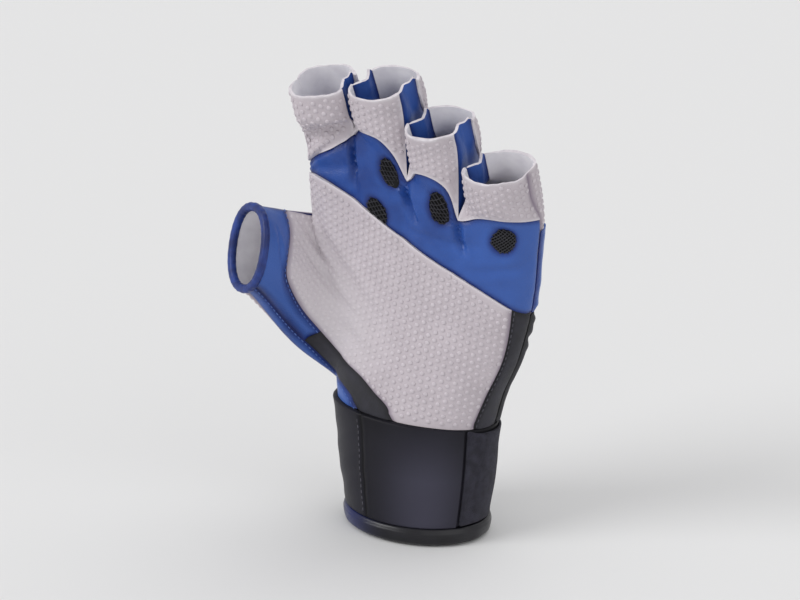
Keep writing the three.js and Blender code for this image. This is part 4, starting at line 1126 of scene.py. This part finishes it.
def wallPoint(k, plan):
    # a wall before it folds, on the sides of the two stalls next to it
    q = np.clip(plan[:, 0] / wall["width"], 0, 1)
    out = np.zeros((len(plan), 3))
    for end, half in ((1, plan[:, 1] <= 0), (-1, plan[:, 1] > 0)):
        if not half.any():
            continue
        finger = k if end > 0 else k + 1
        up = crotchUp + np.abs(plan[half, 1])
        qq = q[half]
        corner = {}
        slope = {}
        for side in (palmSide, backSide):
            x = fingerBounds[side][k + 1] * acrossSize - end * 1e-4
            ends = facePoint(side, np.array([[x, crotchUp - 1e-6], [x, crotchUp - 0.5]]))
            corner[side] = ends[0]
            slope[side] = (ends[0] - ends[1]) / 0.5
        palmAngle = fingers[finger]["palm"][1 if end > 0 else 0]
        backAngle = fingers[finger]["back"][1 if end > 0 else 0]
        angle = palmAngle + (end * 180 - backAngle - palmAngle) * qq
        mixed = lambda pair: pair[palmSide] + (pair[backSide] - pair[palmSide]) * qq[:, None]
        p4 = mixed(corner)
        p5 = stallPoint(finger, angle, 0, palmSide)
        p6 = stallPoint(finger, angle, 1, palmSide)
        h = stall["length"] / 2
        m4, m5, m6 = mixed(slope), (p6 - p4) / (2 * h), (p6 - p5) / h
        t = ((up - crotchUp) / h)[:, None]
        low = hermite(p4, p5, m4 * h, m5 * h, np.clip(t, 0, 1))
        high = hermite(p5, p6, m5 * h, m6 * h, np.clip(t - 1, 0, 1))
        out[half] = np.where(t < 1, low, high)
    return out


def foldedWall(k, plan):
    base = wallPoint(k, plan)
    e = 0.3
    dx = wallPoint(k, plan + [e, 0]) - wallPoint(k, plan - [e, 0])
    dy = wallPoint(k, plan + [0, e]) - wallPoint(k, plan - [0, e])
    inward = unit(np.cross(dx, dy))
    level = np.clip(np.abs(plan[:, 1]) / stall["length"], 0, 1)
    q = np.clip(plan[:, 0] / wall["width"], 0, 1)
    peak = np.where(plan[:, 1] < 0, 0.58, 0.46)
    ridge = np.where(q < peak, q / peak, (1 - q) / (1 - peak)) ** 1.25
    fold = wall["fold"] * ridge * np.clip((level - 0.12) / 0.88, 0, 1) ** 0.8
    fold = fold + wall["wrinkle"] * softNoise(base, 9, 40 + k) * ridge
    upward = unit(dy) * np.sign(plan[:, 1:] + 1e-9)
    peak = wall["peak"] * np.exp(-((q - 0.86) / 0.1) ** 2) * np.clip((level - 0.7) / 0.3, 0, 1) ** 2
    return base + inward * fold[:, None] + upward * peak[:, None]


for k in range(3):
    name = "fourchette_" + fingers[k]["name"] + "_" + fingers[k + 1]["name"]
    top = stall["length"]
    wide = wall["width"]
    outline = pieceOutline(
        (straight((0, -top), (wide, -top)), "raw"), (straight((wide, -top), (wide, top), 60), "seam"),
        (straight((wide, top), (0, top)), "raw"), (straight((0, top), (0, -top), 60), "seam"))
    panel = makePanel(name, backSide, outline, evaluate=lambda plan, k=k: foldedWall(k, plan),
                      thickness=wall["thickness"], bend=False)
    piece = panelPiece(panel, materials["blueLeather"], materials["blueLeather"], materials["rawEdge"])
    finishPiece(piece, "blue_leather", name)
print("side walls ready")

# Stitch rows beside the seams; the offset's sign says which side
aside = stitches["offset"]
seamStitches = {
    "white_stitches": ("whiteThread", "dotted_leather", [
        (palmSide, seamPart("bandLower", 0, 6), -aside),
        (backSide, seams["fingerPanel"][0], aside),
        (backSide, closedLoop(seams["meshWindow"][0]), -aside),
    ]),
    "blue_stitches": ("blueThread", "blue_leather", [
        (palmSide, seamPart("facing", 0, 5), -aside),
        (palmSide, pipingCurve, -aside),
    ]),
    "dark_stitches": ("darkThread", "charcoal_fabric", [
        (palmSide, seams["ulnarStrip"][0], -aside),
    ]),
}
for name, (finish, slotName, rows) in seamStitches.items():
    parts = [seamRow(*row) for row in rows]
    finishPiece(sewnPiece(name, finish, *[np.concatenate(one) for one in zip(*parts)]), slotName)
print("stitches ready")

# Open mesh: crossing threads over a dark backing
net = dict(pitch=2.1, radius=0.33, ventPitch=1.35, ventRadius=0.23, angles=(42, -48), step=0.9)


def netPiece(name, side, loop, sink, pitch, radius):
    # two sets of lanes in the plan that cross inside the loop, each an edge chain that becomes a thread
    low, high = loop.min(0) - 2, loop.max(0) + 2
    points = []
    edges = []
    reach = np.linalg.norm(high - low)
    middle = (low + high) / 2
    for angle in np.radians(net["angles"]):
        forward = np.array([math.cos(angle), math.sin(angle)])
        aside = np.array([-forward[1], forward[0]])
        for lane in np.arange(-reach / 2, reach / 2, pitch):
            t = np.arange(-reach / 2, reach / 2, net["step"])[:, None]
            run = middle + aside * lane + forward * t
            inside = insideLoop(run, loop)
            previous = None
            for i, ok in enumerate(inside):
                if not ok:
                    previous = None
                    continue
                points.append(run[i])
                if previous is not None:
                    edges.append((previous, len(points) - 1))
                previous = len(points) - 1
    plan = np.array(points)
    base = facePoint(side, plan)
    normal = faceNormal(side, plan)
    wave = 0.12 * np.sin(plan[:, 0] * 2.1) * np.sin(plan[:, 1] * 2.1)  # over and under
    at = base + normal * (wave - sink)[:, None]
    mesh = bpy.data.meshes.new("net")
    mesh.from_pydata((at * mm).tolist(), edges, [])
    obj = link(bpy.data.objects.new("net", mesh))
    return settled(obj, name, threads, threadSockets, Radius=radius * mm, Finish=materials["meshThread"])


def backingPiece(name, side, loop, **sizes):
    disc = makePanel(name, side, pieceOutline((closedLoop(loop), "tuck")), **sizes)
    finishPiece(panelPiece(disc, *[materials["meshBacking"]] * 3), "mesh_fabric", name)


windowLoop = seams["meshWindow"][0]
widerWindow = windowLoop + unit(windowLoop - windowLoop.mean(0)) * 1.2
backingPiece("back_mesh", backSide, widerWindow, thickness=2.3, lift=-1.3)
finishPiece(netPiece("back_net", backSide, widerWindow, 0.75, net["pitch"], net["radius"]), "mesh_fabric")
for vent in vents:
    ring = ventCircle(vent, ventRadius + 0.5)
    if vent["name"] == "vent_crescent":  # ends just under the palm's edge
        palmEdge = np.interp(ring[:, 0], bandLowerCurve[:, 0], bandLowerCurve[:, 1]) - 0.4
        ring[:, 1] = np.maximum(ring[:, 1], palmEdge)
    backingPiece(vent["name"], palmSide, ring, thickness=1.9, lift=-1.0, pitch=0.9)
    name = vent["name"].replace("vent", "net")
    finishPiece(netPiece(name, palmSide, ring, 0.6, net["ventPitch"], net["ventRadius"]), "mesh_fabric")
print("meshes ready")

# Binding round the thumb's mouth: a rolled strip with small puckers
thumbBinding = dict(halfWidth=1.9, height=3.4, around=240, section=14, pucker=0.1, puckers=31)


def thumbBindingPiece():
    b = thumbBinding
    angle = np.linspace(0, 2 * np.pi, b["around"], endpoint=False)
    at = thumbMouthPoint(angle)
    tangent = unit(thumbMouthPoint(angle + 0.01) - thumbMouthPoint(angle - 0.01))
    outward = unit(np.cross(tangent, thumbNormal))
    outward *= np.sign(((at - np.array(thumb["mouth"])) * outward).sum(1))[:, None]
    middle = at - outward * leather["thickness"] / 2 + thumbNormal * (b["height"] / 2 - 0.4)
    turn = np.linspace(0, 2 * np.pi, b["section"], endpoint=False)
    pucker = 1 + b["pucker"] * np.sin(angle * b["puckers"])[:, None] * 0.5
    wide = signedPower(np.cos(turn), 0.8)[None] * b["halfWidth"] * pucker
    high = signedPower(np.sin(turn), 0.8)[None] * b["height"] / 2 * np.ones_like(pucker)
    points = middle[:, None] + outward[:, None] * wide[..., None] + thumbNormal * high[..., None]
    n, m = b["around"], b["section"]
    faces = [(i * m + j, i * m + (j + 1) % m, (i + 1) % n * m + (j + 1) % m, (i + 1) % n * m + j)
             for i in range(n) for j in range(m)]
    points = points.reshape(-1, 3)
    uv = np.stack([np.repeat(angle * 17, m), np.tile(turn * 2, n)], -1)
    faces = outwardFaces(points, faces)
    return meshPiece("thumb_binding", points, faces, [materials["blueBinding"]], uv=uv)


def outwardFaces(points, faces):
    # signed volume says whether a closed mesh is inside out
    p = np.asarray(points)
    total = 0.0
    for face in faces:
        for i in range(1, len(face) - 1):
            total += p[face[0]] @ np.cross(p[face[i]], p[face[i + 1]])
    return faces if total > 0 else [tuple(reversed(face)) for face in faces]


finishPiece(thumbBindingPiece(), "blue_binding", "thumb_binding")

# Cuff: angle 0 is the back, 90 the little finger side, 180 the palm, 270 the thumb side
cuff = dict(thickness=3.0, proud=1.9, bottomHalf=(32, 27.5), edgeHeight=8, seamAngle=208, bulge=0.5,
            flapFrom=-28, flapTo=131, flapThickness=1.2, slot=1.6)
degree = 0.62  # millimetres along the cuff's wall for each degree
cuffTop = handRows[0]
topMiddle = sum(cuffTop["x"]) / 2
topHalf = (cuffTop["x"][1] - cuffTop["x"][0]) / 2


def cuffTopZ(angle):
    # the top edge falls a little towards the little finger side
    a = np.radians(angle)
    return cuffTop["z"][0] + (cuffTop["z"][1] - cuffTop["z"][0]) * (1 + np.sin(a) * 1.05) / 2 - 0.4


def cuffPoint(angle, z, inset):
    # a point on the cuff, this far inside its outer face
    angle, z, inset = np.broadcast_arrays(*[np.asarray(v, float) for v in (angle, z, inset)])
    a = np.radians(angle)
    level = z / cuffTopZ(angle)
    wide = cuff["bottomHalf"][0] + (topHalf + cuff["proud"] - cuff["bottomHalf"][0]) * level - inset
    deep = cuff["bottomHalf"][1] + (cuffTop["palm"] + cuff["proud"] - cuff["bottomHalf"][1]) * level - inset
    return np.stack([topMiddle * level + np.sin(a) * wide, np.cos(a) * deep, z], -1)


def sectionLoop(low, high, outer, inner, rounding, steps):
    # a wall's section with rounded edges, as (inset, z)
    middle, half = (outer + inner) / 2, (inner - outer) / 2
    loop = []
    for face, start, end, count in ((outer, low + rounding, high - rounding, steps),
                                    (inner, high - rounding, low + rounding, max(4, steps // 2))):
        loop += [(face, z) for z in np.linspace(start, end, count)]
        turn = 0 if face == outer else math.pi
        for r in np.radians(np.linspace(0, 180, 9)[1:-1]) + turn:
            loop.append((middle - math.cos(r) * half, end + math.sin(r) * rounding))
    return loop


def awayFrom(points):
    # straight out from the middle of the cuff
    return unit((points - np.array([topMiddle / 2, 0, 0])) * [1, 1, 0])


def cuffTube(name, angles, section, closed, finish, move, shares=None):
    # sections joined round the cuff, then moved out by a relief
    rows = []
    uv = []
    places = []
    for angle in angles:
        loop = np.array(section(angle))
        places.append(np.stack([np.full(len(loop), angle), loop[:, 1]], -1))
        points = cuffPoint(angle, loop[:, 1], loop[:, 0])
        rows.append(points)
        uv.append(np.stack([np.full(len(loop), angle * 0.55), loop[:, 1]], -1))
    points = np.array(rows)
    n, m = points.shape[:2]
    allAngles = np.asarray(angles)[:, None] * np.ones((1, m))
    points = points + awayFrom(points) * move(allAngles, points)[..., None]
    faces = []
    for i in range(n if closed else n - 1):
        for j in range(m):
            k = (i + 1) % n
            faces.append((i * m + j, k * m + j, k * m + (j + 1) % m, i * m + (j + 1) % m))
    if not closed:
        faces.append(tuple(range(m)))
        faces.append(tuple((n - 1) * m + j for j in reversed(range(m))))
    points = points.reshape(-1, 3)
    places = np.concatenate(places)
    values = {key: value(places[:, 0], places[:, 1]) for key, value in (shares or {}).items()}
    faces = outwardFaces(points, faces)
    return meshPiece(name, points, faces, [finish], uv=np.concatenate(uv), shares=values)


def angleGap(a, b):
    return (np.asarray(a) - b + 180) % 360 - 180


def neopreneRelief(angle, points):
    # the soft bulge of the cuff, its ripples and the groove of its seam
    z = points[..., 2]
    share = np.clip((z - 8) / 45, 0, 1)
    out = cuff["bulge"] * np.sin(np.pi * share)
    out += 0.35 * softNoise(points.reshape(-1, 3), 30, 21).reshape(z.shape)
    ripple = 0.14 * np.sin(z * 0.55 + 3 * np.sin(np.radians(angle) * 3))
    out += ripple * np.exp(-(angleGap(angle, 235) / 40) ** 2)
    d = angleGap(angle, cuff["seamAngle"]) * degree
    out -= 0.55 * np.exp(-(d / 0.55) ** 2)
    out += 0.18 * np.exp(-((np.abs(d) - 1.8) / 1.0) ** 2)
    return out * np.clip((z - 7.5) / 3, 0, 1)


def bandSection(angle):
    covered = cuff["flapFrom"] < angle - (360 if angle > 300 else 0) < cuff["flapTo"] + cuff["slot"]
    outer = cuff["flapThickness"] + 0.3 if covered else 0.0
    bottom, top = cuff["edgeHeight"] - 0.5, float(cuffTopZ(angle)) + 0.3
    return sectionLoop(bottom, top, outer, cuff["thickness"], 1.1, 26)


# painted shade and dirt along the cuff's seam groove
def cuffSeamShadeAndDirt(angle, z):
    return np.exp(-(angleGap(angle, cuff["seamAngle"]) * degree / 0.7) ** 2)


def cuffPale(angle, z):
    # the light on the palm side's lower half, and on the two edges of the thumb side
    front = 0.95 * np.exp(-(angleGap(angle, 158) / 32) ** 2) * np.clip((60 - z) / 30, 0, 1)
    edges = 0.2 * np.exp(-(np.maximum(0, np.abs(angleGap(angle, 246)) - 28) / 8) ** 2)
    return np.clip(front + edges, 0, 1)


ends = [cuff["flapFrom"] + 360, cuff["flapTo"] + cuff["slot"]]
evenAngles = {round(a, 3) for a in np.arange(0, 360, 1.5)}
bandAngles = sorted(evenAngles | {end + step for end in ends for step in (-0.25, 0.25)})
cuffBand = cuffTube("cuff_band", bandAngles, bandSection, True, materials["neoprene"], neopreneRelief,
                    dict(wear=cuffSeamShadeAndDirt, pale=cuffPale))
finishPiece(cuffBand, "neoprene", "cuff_band")


def flapSection(angle):
    edge = min(angle - cuff["flapFrom"], cuff["flapTo"] - angle)
    lift = 0.7 * math.exp(-(angle - cuff["flapTo"]) ** 2 / 40)
    trim = 1.6 * max(0.0, 1 - edge / 3) ** 2
    thin = 0.45 * max(0.0, 1 - edge / 1.6) ** 2
    rise = 1.7 * math.exp(-(angle - cuff["flapTo"]) ** 2 / 60)
    bottom, top = cuff["edgeHeight"] + 0.4 + trim, float(cuffTopZ(angle)) - 1.4 + rise - trim
    return sectionLoop(bottom, top, -lift + thin, cuff["flapThickness"] - lift * 0.6, 0.55, 22)


def flapRelief(angle, points):
    return neopreneRelief(angle, points) * 0.8


flapAngles = np.arange(cuff["flapFrom"] + 0.5, cuff["flapTo"] + 0.01, 1.25)
flap = cuffTube("closure_flap", flapAngles, flapSection, False, materials["loopCloth"], flapRelief)
finishPiece(flap, "loop_fabric", "closure_flap")


def tapeSection(angle):
    return sectionLoop(0.0, cuff["edgeHeight"] - 0.1, -0.7, cuff["thickness"] + 0.2, 1.7, 12)


def tapeRelief(angle, points):
    z = points[..., 2]
    roll = 0.5 * np.sin(np.pi * np.clip(z / cuff["edgeHeight"], 0, 1))
    groove = 0.35 * np.exp(-((z - 6.4) / 0.5) ** 2)
    return roll - groove + 0.12 * softNoise(points.reshape(-1, 3), 9, 33).reshape(z.shape)


def tapePale(angle, z):
    return np.exp(-(angleGap(angle, 232) / 22) ** 2)


tapeAngles = np.arange(0, 360, 1.5)
tape = cuffTube("cuff_binding", tapeAngles, tapeSection, True, materials["glossTape"], tapeRelief,
                dict(pale=tapePale))
finishPiece(tape, "gloss_binding", "cuff_binding")

# Bare patch on the flap, rounded corners and a sewn edge
patch = dict(fromAngle=-23, toAngle=64, bottom=11, top=47, corner=6, thickness=0.8, stitchIn=1.6, proud=0.35)
patchMiddle = (patch["fromAngle"] + patch["toAngle"]) / 2
patchReach = degree * (patch["toAngle"] - patch["fromAngle"]) / 2


def patchSection(angle):
    over = max(0.0, abs(angle - patchMiddle) * degree - (patchReach - patch["corner"]))
    cut = patch["corner"] - math.sqrt(max(0.0, patch["corner"] ** 2 - min(over, patch["corner"]) ** 2))
    outer = -patch["proud"] - patch["thickness"]
    return sectionLoop(patch["bottom"] + cut, patch["top"] - cut, outer, -0.3, 0.35, 20)


def patchRelief(angle, points):
    z = points[..., 2]
    x = np.abs(angle - patchMiddle) * degree
    edge = np.minimum(patchReach - x, np.minimum(z - patch["bottom"], patch["top"] - z))
    return flapRelief(angle, points) - 0.25 * np.exp(-((edge - patch["stitchIn"]) / 0.5) ** 2)


patchAngles = np.linspace(patch["fromAngle"], patch["toAngle"], 88)
patchPiece = cuffTube("cuff_patch", patchAngles, patchSection, False, materials["patchCloth"], patchRelief)
finishPiece(patchPiece, "patch_cloth", "cuff_patch")


def cuffStitches(name, path, inset, relief, finish, slotName):
    # stitches along a path of (angle, z) on the cuff
    angle, z = np.array(path, float).T
    base = cuffPoint(angle, z, inset)
    outward = awayFrom(base)
    base = base + outward * relief(angle, base)[:, None]
    point, direction, normal = stitchPlaces(base, outward)
    finishPiece(sewnPiece(name, finish, point, unit(normal), direction), slotName)


def roundedBox(low, high, bottom, top, corner):
    # a rounded rectangle as (angle, z); corner in millimetres
    middle = (low + high) / 2
    halfX, halfZ = (high - low) / 2 * degree, (top - bottom) / 2
    out = []
    for cx, cz, start in ((1, 1, 0), (-1, 1, 90), (-1, -1, 180), (1, -1, 270)):
        for r in np.radians(np.linspace(start, start + 90, 12)):
            out.append((middle + (cx * (halfX - corner) + corner * math.cos(r)) / degree,
                        (bottom + top) / 2 + cz * (halfZ - corner) + corner * math.sin(r)))
    return out + out[:1]


def besideEdge(angle, short):
    # a row up the cuff a little past an edge, ending short of the top
    return [(angle + 3.2, z) for z in np.linspace(10, float(cuffTopZ(angle)) - short, 40)]


stitchIn = patch["stitchIn"]
patchPath = roundedBox(patch["fromAngle"] + stitchIn / degree, patch["toAngle"] - stitchIn / degree,
                       patch["bottom"] + stitchIn, patch["top"] - stitchIn, patch["corner"] - 1.5)
patchInset = -patch["proud"] - patch["thickness"] + 0.18
cuffStitches("patch_stitches", patchPath, patchInset, flapRelief, "darkThread", "patch_cloth")
seamPath = besideEdge(cuff["seamAngle"], 2)
cuffStitches("cuff_stitches", seamPath, 0.0, neopreneRelief, "darkThread", "neoprene")
strapPath = besideEdge(cuff["flapFrom"], 3.2)
cuffStitches("strap_stitches", strapPath, 0.12, neopreneRelief, "greyThread", "loop_fabric")
print("cuff ready")

for helper in (dotShape, stitchShape):
    bpy.data.objects.remove(helper)

# Floor, light and camera
bpy.context.scene.view_settings.view_transform = "Standard"
studio = dict(floor=(230, 230, 230), sky=(0.55, 0.55, 0.555), skyStrength=1.0, key=1.4, fill=0.45, top=0.5)
floorMesh = bpy.data.meshes.new("floor")
size = 30.0
corners = [(-size, -size, 0), (size, -size, 0), (size, size, 0), (-size, size, 0)]
floorMesh.from_pydata(corners, [], [(0, 1, 2, 3)])
floor = link(bpy.data.objects.new("floor", floorMesh))
floor.location.z = -0.0006
floorPaint = bpy.data.materials.new("floorPaint")
floorPaint.use_nodes = True
floorShader = floorPaint.node_tree.nodes["Principled BSDF"]
floorShader.inputs["Base Color"].default_value = paint(*studio["floor"])
floorShader.inputs["Roughness"].default_value = 0.9
floorShader.inputs["Specular IOR Level"].default_value = 0.1
floorMesh.materials.append(floorPaint)

world = bpy.data.worlds.new("studio")
world.use_nodes = True
world.node_tree.nodes["Background"].inputs["Color"].default_value = (*studio["sky"], 1)
world.node_tree.nodes["Background"].inputs["Strength"].default_value = studio["skyStrength"]
bpy.context.scene.world = world


def softLight(name, toward, strength, spread):
    # a far lamp with a wide face, so that floor and glove get the same light all over
    data = bpy.data.lights.new(name, "SUN")
    data.energy = strength
    data.angle = math.radians(spread)
    lamp = link(bpy.data.objects.new(name, data))
    lamp.location = toward
    lamp.rotation_mode = "QUATERNION"
    lamp.rotation_quaternion = (-Vector(toward)).to_track_quat("-Z", "Y")


softLight("keyLight", (-1.0, -1.0, 0.85), studio["key"], 30)
softLight("fillLight", (1.0, -0.6, 0.6), studio["fill"], 60)
softLight("topLight", (0.15, 0.6, 1.2), studio["top"], 50)

# Camera at the photo's angle; reach is how much the picture shows from top to bottom, in metres
cameraLook = dict(target=(-0.012, -0.005, 0.104), azimuth=18, elevation=18, roll=3, lens=120, reach=0.262)
cameraData = bpy.data.cameras.new("camera")
cameraData.lens = cameraLook["lens"]
cameraData.sensor_width = 36
camera = link(bpy.data.objects.new("camera", cameraData))
azimuth, elevation, roll = [math.radians(cameraLook[key]) for key in ("azimuth", "elevation", "roll")]
back = Vector((math.sin(azimuth) * math.cos(elevation), -math.cos(azimuth) * math.cos(elevation),
               math.sin(elevation)))
distance = cameraLook["reach"] * cameraLook["lens"] / 27  # 27 mm is the sensor's height at 4 to 3
camera.location = Vector(cameraLook["target"]) + back * distance
camera.rotation_mode = "QUATERNION"
camera.rotation_quaternion = (-back).to_track_quat("-Z", "Y") @ Quaternion((0, 0, 1), roll)
cameraData.clip_start = 0.05
cameraData.clip_end = 20
bpy.context.scene.camera = camera

print("scene ready")
